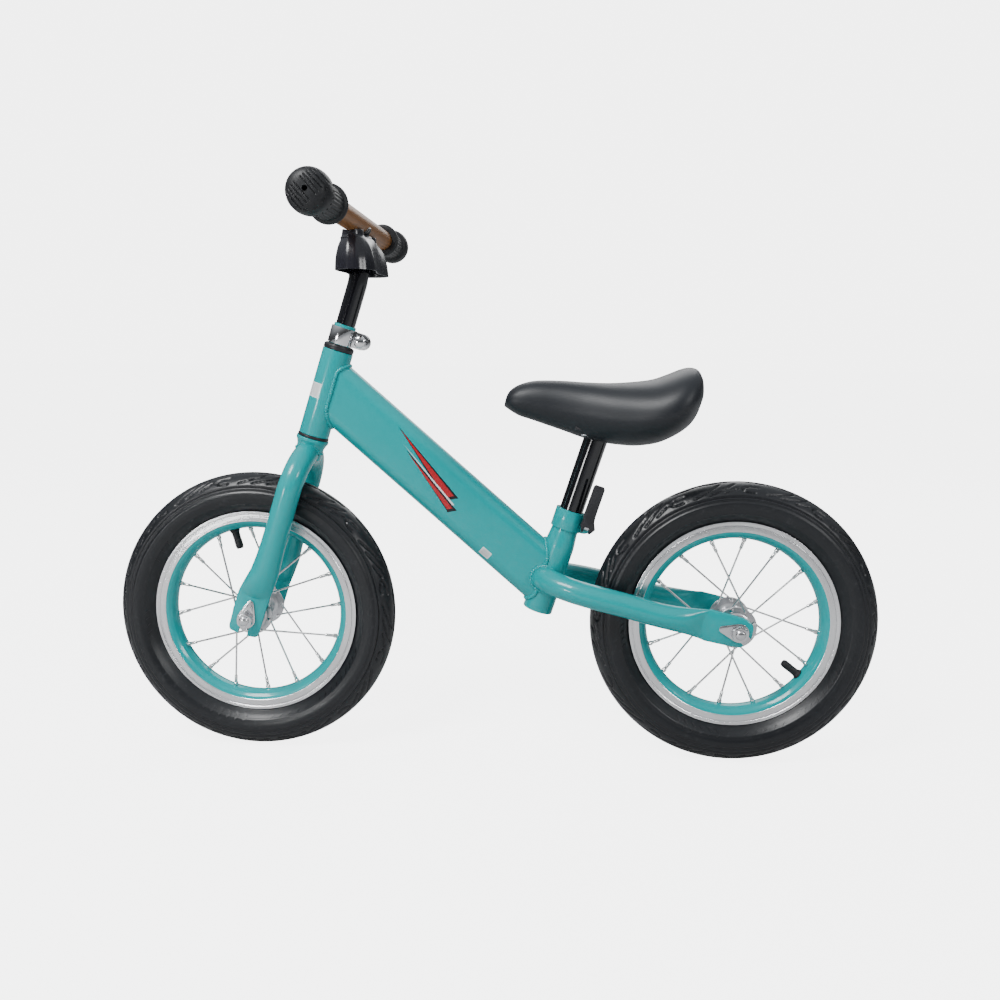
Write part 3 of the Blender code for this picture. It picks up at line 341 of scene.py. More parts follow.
def turned_alloy(end):
    """Rim wall turned on a lathe: fine circular tool lines round the axle."""
    alloy = Finish("turned_alloy_" + end, Metallic=1.0)
    at = AXLES[end]
    x, _, z = alloy.axes()
    reach = alloy.node(
        "ShaderNodeVectorMath", {"operation": "LENGTH"},
        [alloy.node("ShaderNodeCombineXYZ", {}, [x - at.x, 0.0, z - at.z])], output=1,
    )
    lines = alloy.node(
        "ShaderNodeTexNoise", {"noise_dimensions": "1D"},
        {"W": reach, "Scale": 5200.0, "Detail": 2.0},
    )
    drift = alloy.noise(24.0, 3.0)
    tone = alloy.mix(lines, (0.82, 0.82, 0.84), (0.97, 0.97, 0.98))
    alloy.feed("Base Color", alloy.mix(drift.clamped(0.3, 0.8) * 0.35, tone, (0.60, 0.57, 0.58)))
    alloy.feed("Roughness", 0.14 + lines * 0.14 + drift * 0.06)
    return alloy.bump(lines, 0.35, 0.0002)


def tyre_rubber():
    """Moulded rubber: bloom and dust in patches, a fine mould grain, satin gloss."""
    rubber = Finish("tyre_rubber", Specular_IOR_Level=0.5)
    base = colours().tyre
    dust, bloom = rubber.noise(160.0, 5.0, 0.65), rubber.noise(18.0, 3.0)
    tone = rubber.mix(bloom, shade(base, 0.75), shade(base, 1.5))
    dusty = dust.clamped(0.58, 0.80) * 0.22
    rubber.feed("Base Color", rubber.mix(dusty, tone, (0.085, 0.088, 0.095)))
    rubber.feed("Roughness", 0.26 + bloom * 0.12 + dust * 0.10)
    return rubber.bump(rubber.noise(1100.0, 2.0) + dust * 0.6, 0.14, 0.0003)


def grip_rubber():
    """Matt rubber with a fine grain, for the grips and the inner tubes."""
    rubber = Finish("grip_rubber", Specular_IOR_Level=0.45)
    base = colours().grip
    patches = rubber.noise(110.0, 4.0)
    rubber.feed("Base Color", rubber.mix(patches, shade(base, 0.7), shade(base, 1.8)))
    rubber.feed("Roughness", 0.42 + patches * 0.16)
    return rubber.bump(rubber.noise(1500.0, 2.0), 0.15, 0.0003)


def bronze_paint():
    """Satin bronze paint with a metallic fleck and some rubbed, darker patches."""
    bronze = Finish(
        "bronze_paint", Metallic=0.15, Coat_Weight=0.1, Coat_Roughness=0.2, Specular_IOR_Level=0.35
    )
    base = colours().bar
    drift = bronze.noise(26.0, 4.0, 0.6, (1.0, 0.4, 1.0))
    fleck = bronze.noise(1700.0, 1.0)
    tone = bronze.mix(drift, shade(base, 0.70), shade(base, 1.30))
    bronze.feed("Base Color", bronze.mix(fleck.clamped(0.55, 0.75) * 0.30, tone, shade(base, 2.2)))
    bronze.feed("Roughness", 0.38 + drift * 0.14)
    return bronze.bump(fleck, 0.05, 0.0002)


def saddle_skin():
    """Smooth synthetic skin: a tiny pebble grain, fine creases and a soft sheen."""
    skin = Finish("saddle_skin", Specular_IOR_Level=0.5, Sheen_Weight=0.05, Sheen_Roughness=0.4)
    base = colours().saddle
    drift, pebbles = skin.noise(14.0, 3.0), skin.cells(1500.0)
    creases = skin.noise(240.0, 4.0, 0.6)
    tone = skin.mix(drift, shade(base, 0.85), shade(base, 1.35))
    skin.feed("Base Color", skin.mix(pebbles.clamped(0.2, 0.7) * 0.25, tone, shade(base, 0.5)))
    skin.feed("Roughness", 0.40 + drift * 0.08 + creases * 0.06)
    return skin.bump(pebbles + creases * 0.5, 0.10, 0.0003)


# ---------------------------------------------------------------- mesh helpers
def seal(mesh, angle=35):
    """Merges doubles, turns every face outwards and smooths all but sharp edges."""
    bm = bmesh.new()
    bm.from_mesh(mesh)
    bmesh.ops.remove_doubles(bm, verts=bm.verts, dist=0.000004)
    bmesh.ops.recalc_face_normals(bm, faces=bm.faces)
    bm.to_mesh(mesh)
    bm.free()
    mesh.shade_smooth()
    mesh.set_sharp_from_angle(angle=math.radians(angle))
    return mesh


def mesh_of(name, points, faces, matrix=None, angle=35):
    """A sealed mesh from points and faces, moved by the matrix."""
    mesh = bpy.data.meshes.new(name)
    mesh.from_pydata([tuple(point) for point in points], [], [tuple(face) for face in faces])
    if matrix is not None:
        mesh.transform(matrix)
    mesh.update()
    return seal(mesh, angle)


def skin_rings(name, rings, closed=False, caps=True, matrix=None, angle=35):
    """A skin over rings of equal count. closed joins the last ring to the first."""
    count = len(rings[0])
    points = np.asarray([tuple(point) for ring in rings for point in ring])
    index = np.arange(len(rings) * count).reshape(len(rings), count)
    rows = index if closed else index[:-1]
    after = np.roll(index, -1, axis=0)[:len(rows)]
    faces = np.stack(
        [rows, np.roll(rows, -1, axis=1), np.roll(after, -1, axis=1), after], axis=-1
    ).reshape(-1, 4).tolist()
    if caps and not closed:
        faces += [index[0].tolist()[::-1], index[-1].tolist()]
    return mesh_of(name, points, faces, matrix, angle)


def circle(count):
    """Angles spaced evenly round a full turn."""
    return [2 * math.pi * i / count for i in range(count)]


def rounded(points, radius, steps=4, loop=True):
    """A profile with each corner eased by a small curve of about the given radius."""
    made, total = [], len(points)
    for i, point in enumerate(points):
        corner = Vector(point)
        if not loop and i in (0, total - 1):
            made.append(tuple(corner))
            continue
        before, after = Vector(points[i - 1]), Vector(points[(i + 1) % total])
        back, ahead = before - corner, after - corner
        reach = min(radius, back.length * 0.45, ahead.length * 0.45)
        start = corner + back.normalized() * reach
        end = corner + ahead.normalized() * reach
        for step in range(steps + 1):
            t = step / steps
            made.append(tuple(start * (1 - t) ** 2 + corner * 2 * t * (1 - t) + end * t * t))
    return made


def lathe(name, profile, matrix, segments=96, ease=0.0004, loop=True, angle=35):
    """A shape turned about its own Z. The profile is (radius, height); a loop is a hollow ring."""
    eased = rounded(profile, ease, loop=loop) if ease else profile
    turns = circle(segments)
    rings = [
        [(radius * math.cos(turn), radius * math.sin(turn), height) for turn in turns]
        for radius, height in eased
    ]
    return skin_rings(name, rings, closed=loop, caps=not loop, matrix=matrix, angle=angle)


def tubes(*parts, radii, segments=40):
    """Rings across a path. A part is (point, heading, side); its radii are (side, other way)."""
    rings = []
    for (point, heading, side), (half_side, half_other) in zip(parts, radii):
        heading = Vector(heading).normalized()
        side = (Vector(side) - heading * Vector(side).dot(heading)).normalized()
        other = heading.cross(side)
        rings.append([
            Vector(point)
            + side * half_side * math.cos(turn)
            + other * half_other * math.sin(turn)
            for turn in circle(segments)
        ])
    return rings


def spline(keys, steps):
    """A smooth curve through keys, each a tuple of numbers."""
    keys = np.asarray(keys, float)
    path, last = [], len(keys) - 1
    for i in range(last):
        before, after = keys[max(i - 1, 0)], keys[min(i + 2, last)]
        start, end = keys[i], keys[i + 1]
        for step in range(steps):
            t = step / steps
            linear = (end - before) * t
            square = (2 * before - 5 * start + 4 * end - after) * t * t
            cube = (3 * start - before - 3 * end + after) * t ** 3
            path.append(0.5 * (2 * start + linear + square + cube))
    path.append(keys[-1])
    return path


def headings(path):
    """Unit direction of a path at each of its points."""
    return [
        (Vector(path[min(i + 1, len(path) - 1)]) - Vector(path[max(i - 1, 0)])).normalized()
        for i in range(len(path))
    ]


def wheel_point(radius, angle, across=0.0):
    """A point of a wheel in its own frame; the angle is from +X towards up."""
    return Vector((radius * math.cos(angle), -radius * math.sin(angle), across))


def join(name, *meshes):
    """One mesh from several. Its material slots are left for piece to fill."""
    bm = bmesh.new()
    for mesh in meshes:
        bm.from_mesh(mesh)
    made = bpy.data.meshes.new(name)
    bm.to_mesh(made)
    bm.free()
    return made


def piece(mesh, body, slot_name, finishes, *nodes):
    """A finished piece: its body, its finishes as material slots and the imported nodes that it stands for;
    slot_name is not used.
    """
    obj = bpy.data.objects.new(mesh.name, mesh)
    bpy.context.scene.collection.objects.link(obj)
    for finish in finishes if isinstance(finishes, list) else [finishes]:
        mesh.materials.append(finish.material)
    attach(obj, body)
    if nodes:
        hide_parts(*nodes)
    return obj


def evaluated_mesh(obj):
    """The object's mesh with its modifiers applied; the object is removed."""
    bpy.context.view_layer.update()
    mesh = bpy.data.meshes.new_from_object(obj.evaluated_get(bpy.context.evaluated_depsgraph_get()))
    bpy.data.objects.remove(obj, do_unlink=True)
    return mesh


def temporary(mesh, name="working"):
    """An object in the scene that holds the mesh."""
    obj = bpy.data.objects.new(name, mesh)
    bpy.context.scene.collection.objects.link(obj)
    return obj


def carve(mesh, cutters):
    """The mesh less each cutter mesh."""
    obj = temporary(mesh)
    tools = [temporary(cutter) for cutter in cutters]
    for tool in tools:
        modifier = obj.modifiers.new("Cut", "BOOLEAN")
        modifier.operation, modifier.object, modifier.solver = "DIFFERENCE", tool, "EXACT"
    name, made = mesh.name, evaluated_mesh(obj)
    for tool in tools:
        bpy.data.objects.remove(tool, do_unlink=True)
    made.name = name
    return seal(made, 40)


def block(low, high, matrix):
    """A box mesh between two corners of its own frame."""
    mesh = bpy.data.meshes.new("block")
    bm = bmesh.new()
    low, high = Vector(low), Vector(high)
    middle, size = Matrix.Translation((low + high) / 2), Matrix.Diagonal((*(high - low), 1))
    bmesh.ops.create_cube(bm, size=1, matrix=matrix @ middle @ size)
    bm.to_mesh(mesh)
    bm.free()
    return mesh


def refined(node, width=0.0003, smooth=32):
    """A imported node's shape as one welded mesh with its flat faces whole and its edges eased."""
    bm = bmesh.new()
    bm.from_mesh(frame["nodes"][node].data)
    bmesh.ops.remove_doubles(bm, verts=bm.verts, dist=0.00001)
    bmesh.ops.dissolve_limit(bm, angle_limit=math.radians(1.0), verts=bm.verts, edges=bm.edges)
    mesh = bpy.data.meshes.new(node + "_finish")
    bm.to_mesh(mesh)
    bm.free()
    obj = temporary(mesh)
    bevel = obj.modifiers.new("Bevel", "BEVEL")
    bevel.width, bevel.segments, bevel.limit_method = width, 2, "ANGLE"
    bevel.angle_limit = math.radians(smooth)
    made = evaluated_mesh(obj)
    made.name = node + "_finish"
    made.shade_smooth()
    made.set_sharp_from_angle(angle=math.radians(50))
    return made


def refine_nodes(body, slot_name, finish, *nodes, width=0.0003):
    """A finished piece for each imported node, in that node's own shape."""
    for node in nodes:
        piece(refined(node, width), body, slot_name, finish, node)


# ---------------------------------------------------------------- Geometry Nodes
def ring_tree():
    """Copies of one object turned evenly round Z, realised, with a finish."""
    tree = bpy.data.node_groups.get("ring_of_copies")
    if tree:
        return tree
    tree = bpy.data.node_groups.new("ring_of_copies", "GeometryNodeTree")
    for label, kind in (
        ("Source", "NodeSocketObject"), ("Count", "NodeSocketInt"), ("Start", "NodeSocketFloat"),
        ("Pitch", "NodeSocketFloat"), ("Finish", "NodeSocketMaterial"),
    ):
        tree.interface.new_socket(label, in_out="INPUT", socket_type=kind)
    tree.interface.new_socket("Geometry", in_out="OUTPUT", socket_type="NodeSocketGeometry")
    add, link = tree.nodes.new, tree.links.new
    inputs, result = add("NodeGroupInput"), add("NodeGroupOutput")
    points, info = add("GeometryNodePoints"), add("GeometryNodeObjectInfo")
    index, place = add("GeometryNodeInputIndex"), add("GeometryNodeInstanceOnPoints")
    turn, spin = add("ShaderNodeMath"), add("ShaderNodeCombineXYZ")
    turn.operation = "MULTIPLY_ADD"
    real, paint = add("GeometryNodeRealizeInstances"), add("GeometryNodeSetMaterial")
    link(inputs.outputs["Count"], points.inputs["Count"])
    link(inputs.outputs["Source"], info.inputs["Object"])
    link(index.outputs[0], turn.inputs[0])
    link(inputs.outputs["Pitch"], turn.inputs[1])
    link(inputs.outputs["Start"], turn.inputs[2])
    link(turn.outputs[0], spin.inputs["Z"])
    link(points.outputs[0], place.inputs["Points"])
    link(info.outputs["Geometry"], place.inputs["Instance"])
    link(spin.outputs[0], place.inputs["Rotation"])
    link(place.outputs[0], real.inputs[0])
    link(real.outputs[0], paint.inputs["Geometry"])
    link(inputs.outputs["Finish"], paint.inputs["Material"])
    link(paint.outputs[0], result.inputs[0])
    return tree


def ring_of(source, count, start, pitch, finish, matrix):
    """A mesh of copies of the source mesh round Z, put in place by the matrix."""
    model = temporary(source, "copied")
    holder = temporary(bpy.data.meshes.new("holder"), "holder")
    modifier = holder.modifiers.new("Copies", "NODES")
    tree = ring_tree()
    modifier.node_group = tree
    given = {
        "Source": model, "Count": count, "Start": start, "Pitch": pitch, "Finish": finish.material,
    }
    for item in tree.interface.items_tree:
        if item.in_out == "INPUT":
            modifier[item.identifier] = given[item.name]
    mesh = evaluated_mesh(holder)
    bpy.data.objects.remove(model, do_unlink=True)
    mesh.transform(matrix)
    mesh.shade_smooth()
    mesh.set_sharp_from_angle(angle=math.radians(40))
    return mesh


# ---------------------------------------------------------------- tyres
def tyre_section():
    """Outer skin of a tyre as (radius, across), from one bead to the other, evenly spaced."""
    half = [
        (0.1034, 0.0088), (0.1060, 0.0108), (0.1098, 0.0110), (0.1120, 0.0134), (0.1150, 0.0168),
        (0.1190, 0.0203), (0.1235, 0.0224), (0.1280, 0.0230), (0.1330, 0.0222), (0.1382, 0.0200),
        (0.1428, 0.0166), (0.1466, 0.0118), (0.1490, 0.0062), (0.1500, 0.0),
    ]
    full = half + [(radius, -across) for radius, across in reversed(half[:-1])]
    fine = np.asarray(spline(full, 12))
    run = np.concatenate([[0], np.cumsum(np.hypot(*np.diff(fine, axis=0).T))])
    even = np.linspace(0, run[-1], 112)
    section = np.stack([np.interp(even, run, fine[:, 0]), np.interp(even, run, fine[:, 1])], axis=1)
    return section, even - run[-1] / 2


def groove_lines():
    """Grooves of one tread group, as lines of (turn fraction, distance from the crown in mm)."""
    hook = [
        (0.24, 13.0), (0.12, 13.2), (0.05, 14.6), (0.02, 17.3), (0.06, 20.2), (0.14, 21.4),
        (0.20, 20.6),
    ]
    first = [(0.36, 21.5), (0.50, 18.0), (0.66, 13.0), (0.72, 9.0)]
    second = [(0.56, 21.8), (0.68, 19.0), (0.84, 14.0), (0.92, 9.0)]
    third = [(0.78, 21.0), (0.88, 18.5), (0.98, 15.5)]
    centre = [(0.10, 3.0), (0.28, 4.8), (0.44, 2.6), (0.62, 4.8), (0.86, 2.8)]
    return [hook, first, second, third, centre]


def tread_cut(turns, places):
    """0 to 1: how far each point of the skin is let into a groove."""
    repeats, half_width = sizes().tread_repeats, sizes().tread_width * 1000
    tread_radius, soft, far = 146, 0.35, 99.0
    pitch = 2 * math.pi * tread_radius / repeats
    nearest = np.full((len(turns), len(places)), far)
    for flip, shift in ((1, 0.0), (-1, 0.5)):
        across = places * 1000 * flip
        part = (turns / (2 * math.pi) * repeats + shift) % 1.0
        for line in groove_lines():
            for (u0, v0), (u1, v1) in zip(line, line[1:]):
                for wrap in (-1.0, 0.0, 1.0):
                    start = np.array([(u0 + wrap) * pitch, v0])
                    run = np.array([(u1 - u0) * pitch, v1 - v0])
                    u = (part * pitch)[:, None] - start[0]
                    v = across[None, :] - start[1]
                    t = np.clip((u * run[0] + v * run[1]) / (run @ run), 0, 1)
                    nearest = np.minimum(nearest, np.hypot(u - t * run[0], v - t * run[1]))
    return np.clip((half_width + soft - nearest) / (2 * soft), 0, 1)


def tyre_mesh(end):
    """A tyre with its grooved tread and the moulded rings and lines of its shoulders."""
    section, places = tyre_section()
    turns = np.linspace(0, 2 * math.pi, 720, endpoint=False)
    slope = np.gradient(section, axis=0)
    outward = np.stack([slope[:, 1], -slope[:, 0]], axis=1)
    outward /= np.linalg.norm(outward, axis=1)[:, None]
    outward *= np.sign((outward * (section - (0.125, 0.0))).sum(axis=1))[:, None]
    height = -sizes().tread_depth * tread_cut(turns - TREAD_TURNS[end], places)
    wide = np.abs(places) * 1000
    for middle, half, rise in (
        (26.2, 0.9, -0.0011), (28.2, 0.8, 0.0005), (30.4, 0.8, -0.0010), (33.6, 0.7, 0.0004),
        (44.5, 0.8, 0.0005),
    ):
        height += (rise * np.clip(1.4 - np.abs(wide - middle) / half, 0, 1))[None, :]
    crown = np.abs(section[:, 1]) < 0.004
    height[:, crown] = np.minimum(height[:, crown], 0)
    radius = section[None, :, 0] + outward[None, :, 0] * height
    across = section[None, :, 1] + outward[None, :, 1] * height
    inner = [
        (0.1034, -0.0073), (0.1200, -0.0150), (0.1400, -0.0120), (0.1455, 0.0),
        (0.1400, 0.0120), (0.1200, 0.0150), (0.1034, 0.0073),
    ]
    ones = np.ones((len(turns), 1))
    radius = np.hstack([radius] + [ones * value for value, _ in inner])
    across = np.hstack([across] + [ones * value for _, value in inner])
    cosine, sine = np.cos(turns)[:, None], np.sin(turns)[:, None]
    rings = np.stack([radius * cosine, radius * sine, across], axis=-1)
    return skin_rings(end + "_tyre_rubber", list(rings), closed=True, matrix=WHEELS[end], angle=60)


def sidewall_marks(end, finish):
    """Raised moulded dashes and chevrons on both sidewalls, between the ring and the rim."""
    meshes = []
    dash_radius, dash_across, flare, wall_lean, proud = 0.1168, 0.0184, 0.87, 0.716, 0.0006
    for _, side in SIDES:
        def bar_mark(radius, long, lean, width=0.0007):
            """A mark that lies on the sidewall at a radius, turned by its lean."""
            at = wheel_point(radius, 0)
            across = side * (dash_across + (radius - dash_radius) * flare)
            slope = Matrix.Rotation(-side * wall_lean, 4, "Y")
            place = Matrix.Translation((at.x, 0, across)) @ slope @ Matrix.Rotation(lean, 4, "Z")
            return block((-long / 2, -width, -proud), (long / 2, width, proud), place)

        chevron = join(
            "chevron",
            bar_mark(0.1188, 0.0052, 0.75, 0.0009), bar_mark(0.1150, 0.0052, -0.75, 0.0009),
        )
        rows = [
            (bar_mark(dash_radius, 0.0060, lean), count, start, pitch)
            for start, count, pitch, lean in (
                (-152, 3, 5.5, 0.25), (20, 9, 4.2, 0.7), (62, 5, 5.0, 0.9), (168, 4, 3.6, -0.5),
            )
        ]
        for mark, count, start, pitch in [*rows, (chevron, 6, 96, 4.4)]:
            given = (count, math.radians(start), math.radians(pitch), finish, WHEELS[end])
            meshes.append(ring_of(mark, *given))
    return join(end + "_sidewall_marks", *meshes)


# ---------------------------------------------------------------- rims, hubs and spokes
def rim_mesh(end):
    """Rim with machined walls, a turned groove in each, and a painted bed."""
    half = [
        (0.1094, 0.0111), (0.1094, 0.0126), (0.1064, 0.0125), (0.1059, 0.0119), (0.1052, 0.0119),
        (0.1047, 0.0125), (0.0990, 0.0127), (0.0984, 0.0122), (0.0958, 0.0112), (0.0928, 0.0085),
        (0.0910, 0.0048), (0.0902, 0.0),
    ]
    inner = [(0.0996, 0.0060), (0.1026, 0.0111)]
    profile = half + [(radius, -across) for radius, across in reversed(half[:-1])]
    profile += [(radius, -across) for radius, across in reversed(inner)] + inner
    mesh = lathe(end + "_rim_ring", profile, None, 192, 0.0005, angle=28)
    for face in mesh.polygons:
        face.material_index = 1 if math.hypot(face.center.x, face.center.y) < 0.0985 else 0
    mesh.transform(WHEELS[end])
    return mesh


def rod(start, end, radius, segments=10, ends=1.0):
    """A straight rod between two points, its ends drawn in by a factor."""
    start, end = Vector(start), Vector(end)
    run = (end - start).normalized()
    side = run.orthogonal()
    reach, ease = (end - start).length, 0.0004
    stops = [(0.0, ends), (ease, 1.0), (reach - ease, 1.0), (reach, ends)]
    parts = [(start + run * stop, run, side) for stop, _ in stops]
    return tubes(*parts, radii=[(radius * grow,) * 2 for _, grow in stops], segments=segments)


def spoke_meshes(end, steel, brass):
    """Crossed spokes in equal sets, with headed elbows at the hub and nipples at the rim."""
    count = sizes().spokes // 4
    step = math.pi / count
    wires, nipples = [], []
    for _, side in SIDES:
        for lead in (-1, 1):
            across = side * (0.0215 + lead * 0.0017)
            start = wheel_point(0.0190, 0.0, across)
            finish = wheel_point(0.0902, lead * step, side * 0.0020)
            run = (finish - start).normalized()
            bend, under, top = [
                start - Vector((0, 0, lead * side * reach)) for reach in (0.0034, 0.0030, 0.0044)
            ]
            elbow, head, wire, nipple, collar = [
                skin_rings("rod", rod(*given)) for given in (
                    (start, bend, 0.00105, 8),
                    (under, top, 0.0021, 12, 0.6),
                    (start, finish - run * 0.004, sizes().spoke_radius, 8),
                    (finish - run * 0.0125, finish - run * 0.0015, 0.0017, 10, 0.8),
                    (finish - run * 0.0035, finish + run * 0.0002, 0.0024, 12, 0.8),
                )
            ]
            hub_start = 0.0 if lead > 0 else step
            hub_start += (step / 2 if side > 0 else 0.0) + SPOKE_PHASES[end]
            given = (count, -hub_start, -2 * math.pi / count)
            wires.append(ring_of(join("spoke", elbow, head, wire), *given, steel, WHEELS[end]))
            nipples.append(ring_of(join("nipple", nipple, collar), *given, brass, WHEELS[end]))
    return join(end + "_spoke_wires", *wires), join(end + "_spoke_nipples", *nipples)


def hub_mesh(end):
    """Hub shell: a waisted barrel, two flanges and a cup at each end."""
    half = [
        (0.0100, 0.0), (0.0100, 0.0140), (0.0118, 0.0186), (0.0150, 0.0200), (0.0215, 0.0204),
        (0.0219, 0.0215), (0.0215, 0.0227), (0.0158, 0.0231), (0.0148, 0.0236), (0.0140, 0.0240),
        (0.0140, 0.0272), (0.0128, 0.0285), (0.0114, 0.0285), (0.0112, 0.0262), (0.0100, 0.0258),
    ]
    bore = [(0.0062, 0.0256), (0.0062, -0.0256)]
    profile = list(reversed(half[1:])) + [(radius, -across) for radius, across in half[1:]]
    return lathe(end + "_hub_shell", profile + list(reversed(bore)), WHEELS[end], 96, 0.0004)


def valve_mesh(end):
    """Inner tube and its rubber valve stem with a ribbed cap."""
    ring = [
        (0.128 + 0.016 * math.cos(turn), 0.016 * math.sin(turn))
        for turn in circle(16)
    ]
    tube = lathe("tube", ring, None, 96, 0)
    stem = [
        (0, 0.0900), (0.0056, 0.0900), (0.0050, 0.0885), (0.0042, 0.0868), (0.0040, 0.0800),
        (0.0036, 0.0795), (0.0042, 0.0790), (0.0042, 0.0765), (0.0038, 0.0762), (0.0042, 0.0758),
        (0.0041, 0.0715), (0.0032, 0.0692), (0, 0.0690),
    ]
    turn = Matrix.Rotation(-VALVES[end], 4, "Z") @ Matrix.Rotation(math.pi / 2, 4, "Y")
    valve = lathe("valve", stem, turn, 28, 0.0003, loop=False)
    mesh = join(end + "_tube_and_valve", tube, valve)
    mesh.transform(WHEELS[end])
    mesh.shade_smooth()
    return mesh


def stud_mesh(end):
    """Axle with rolled threads on its ends."""
    reach, pitch = 0.0540, 0.0010
    profile = [(0, reach), (0.0036, reach), (0.0042, reach - 0.0006)]
    height = reach - 0.0010
    while height > 0.0400:
        profile += [(0.0046, height), (0.0041, height - pitch / 2)]
        height -= pitch
    profile.append((0.0046, 0.0395))
    profile += [(radius, -high) for radius, high in reversed(profile)]
    return lathe(end + "_axle_stud", profile, WHEELS[end], 32, 0, loop=False, angle=50)


def nut_mesh(end, label, side):
    """Hexagon nut with a chamfered outer face and a domed collar round the stud."""
    low, high = 0.0447, 0.0509
    rings, count = [], 96
    for height, grow, limit in (
        (low, 1.0, 0.0084), (low + 0.0006, 1.0, 0.0090), (high - 0.0012, 1.0, 0.0090),
        (high - 0.0002, 1.0, 0.0079), (high, 0.96, 0.0073),
    ):
        ring = []
        for turn in circle(count):
            flat = 0.0075 / math.cos((turn + math.pi / 6) % (math.pi / 3) - math.pi / 6)
            reach = min(flat, limit) * grow
            ring.append((reach * math.cos(turn), reach * math.sin(turn), side * height))
        rings.append(ring)
    for height, reach in ((high, 0.0052), (high - 0.0006, 0.0048), (low, 0.0048)):
        rings.append([
            (reach * math.cos(turn), reach * math.sin(turn), side * height)
            for turn in circle(count)
        ])
    name = f"{end}_nut_{label}"
    return skin_rings(name, rings, closed=True, matrix=WHEELS[end], angle=24)


# ---------------------------------------------------------------- frame tubes
def weld_bead(name, path, radius=None):
    """A rippled bead laid round a closed path of points."""
    path = [Vector(point) for point in path]
    path.append(path[0])
    run = [0.0]
    for a, b in zip(path, path[1:]):
        run.append(run[-1] + (b - a).length)
    ripples = max(6, round(run[-1] / sizes().weld_pitch))
    per_ripple = 5
    count = ripples * per_ripple
    places = np.linspace(0, run[-1], count, endpoint=False)
    fine = np.stack(
        [np.interp(places, run, [point[i] for point in path]) for i in range(3)], axis=1
    )
    parts, radii = [], []
    for i, point in enumerate(fine):
        heading = Vector(fine[(i + 1) % count] - fine[i - 1]).normalized()
        phase = (i / per_ripple) % 1.0
        swell = math.sqrt(abs(math.sin(math.pi * phase)))
        size = (radius or sizes().weld_radius) * (0.78 + 0.26 * swell)
        size *= 1 + 0.08 * math.sin(i * 0.37) + 0.05 * math.sin(i * 1.13)
        parts.append((Vector(point), heading, heading.orthogonal() if i == 0 else parts[-1][2]))
        radii.append((size, size))
    rings = tubes(*parts, radii=radii, segments=14)
    return skin_rings(name, rings, closed=True, angle=80)


def stadium(half_length, half_width, steps=20):
    """Outline with two straight sides and two round ends."""
    straight = half_length - half_width
    points = []
    for centre, start in ((straight, 0.0), (-straight, math.pi)):
        for i in range(steps + 1):
            turn = start + math.pi * i / steps
            points.append((half_width * math.cos(turn), centre + half_width * math.sin(turn)))
    return points


DOWN_FRONT, DOWN_REAR = Vector((-0.1765, 0, 0.3945)), Vector((0.0600, 0, 0.1910))
DOWN_HALF_HEIGHT, DOWN_HALF_WIDTH = 0.0305, 0.0140
HEAD_RADIUS, HEAD_LENGTH, SEAT_RADIUS, SEAT_LENGTH = 0.0159, 0.092, 0.0158, 0.113
LEG_RADIUS = 0.0125  # the fork's blades and the stays
DROPOUT_ACROSS = 0.040  # from the middle plane to a dropout
PLATE_HALF, SLOT_HALF = 0.0025, 0.0050  # a dropout's half thickness, and its slot's half width


def down_tube_run():
    """Unit direction along the down tube, and its upward direction across it."""
    run = (DOWN_REAR - DOWN_FRONT).normalized()
    return run, Vector((-run.z, 0, run.x))


def meets(point, direction, axis_matrix, radius, far=False):
    """Where a line meets a cylinder round the frame's Z; far picks the second crossing."""
    back = axis_matrix.inverted()
    start, run = back @ point, back.to_3x3() @ direction
    a = run.x ** 2 + run.y ** 2
    b = 2 * (start.x * run.x + start.y * run.y)
    c = start.x ** 2 + start.y ** 2 - radius ** 2
    root = math.sqrt(max(b * b - 4 * a * c, 0.0))
    return point + direction * ((-b + (root if far else -root)) / (2 * a))


def down_tube_lines(grow=0.0):
    """Start points of the lines of the down tube's skin, at its middle."""
    _, up = down_tube_run()
    middle = (DOWN_FRONT + DOWN_REAR) / 2
    outline = stadium(DOWN_HALF_HEIGHT + grow, DOWN_HALF_WIDTH + grow)
    return [middle + Vector((0, x, 0)) + up * z for x, z in outline]


def axle_eye(place):
    """Cutter for the round end of a dropout's slot."""
    profile = [(0, -0.01), (SLOT_HALF, -0.01), (SLOT_HALF, 0.01), (0, 0.01)]
    return lathe("eye", profile, place @ ACROSS, 32, 0, loop=False)


def tube_space(matrix, radius, length):
    """The room inside a frame tube, which clears the ends of other tubes from it."""
    inner = radius - 0.0006
    profile = [(0, -0.01), (inner, -0.01), (inner, length - 0.004), (0, length - 0.004)]
    return lathe("space", profile, matrix, 96, 0, loop=False)


def down_tube_mesh():
    """Flat-oval tube whose ends follow the head tube and the seat tube."""
    run, _ = down_tube_run()
    front = [meets(line, run, HEAD, HEAD_RADIUS, True) for line in down_tube_lines()]
    rear = [meets(line, run, SEAT, SEAT_RADIUS) for line in down_tube_lines()]
    rings = [[a.lerp(b, i / 24) for a, b in zip(front, rear)] for i in range(25)]
    return carve(skin_rings("down_tube_skin", rings, angle=50), [
        tube_space(HEAD, HEAD_RADIUS, HEAD_LENGTH), tube_space(SEAT, SEAT_RADIUS, SEAT_LENGTH),
    ])


def head_tube_mesh():
    """Plain round tube, open at both ends."""
    bore = 0.0143
    profile = [(HEAD_RADIUS, 0), (HEAD_RADIUS, HEAD_LENGTH), (bore, HEAD_LENGTH), (bore, 0.0)]
    return lathe("head_tube_skin", profile, HEAD, 128, 0.0007)


def seat_tube_mesh():
    """Round tube drawn in to a smaller diameter at its top."""
    profile = [
        (SEAT_RADIUS, 0), (SEAT_RADIUS, 0.073), (0.0153, 0.0785), (0.0146, 0.0840),
        (0.0141, 0.0885), (0.0140, SEAT_LENGTH), (0.0129, SEAT_LENGTH), (0.0129, 0.0),
    ]
    return lathe("seat_tube_skin", profile, SEAT, 128, 0.0008)


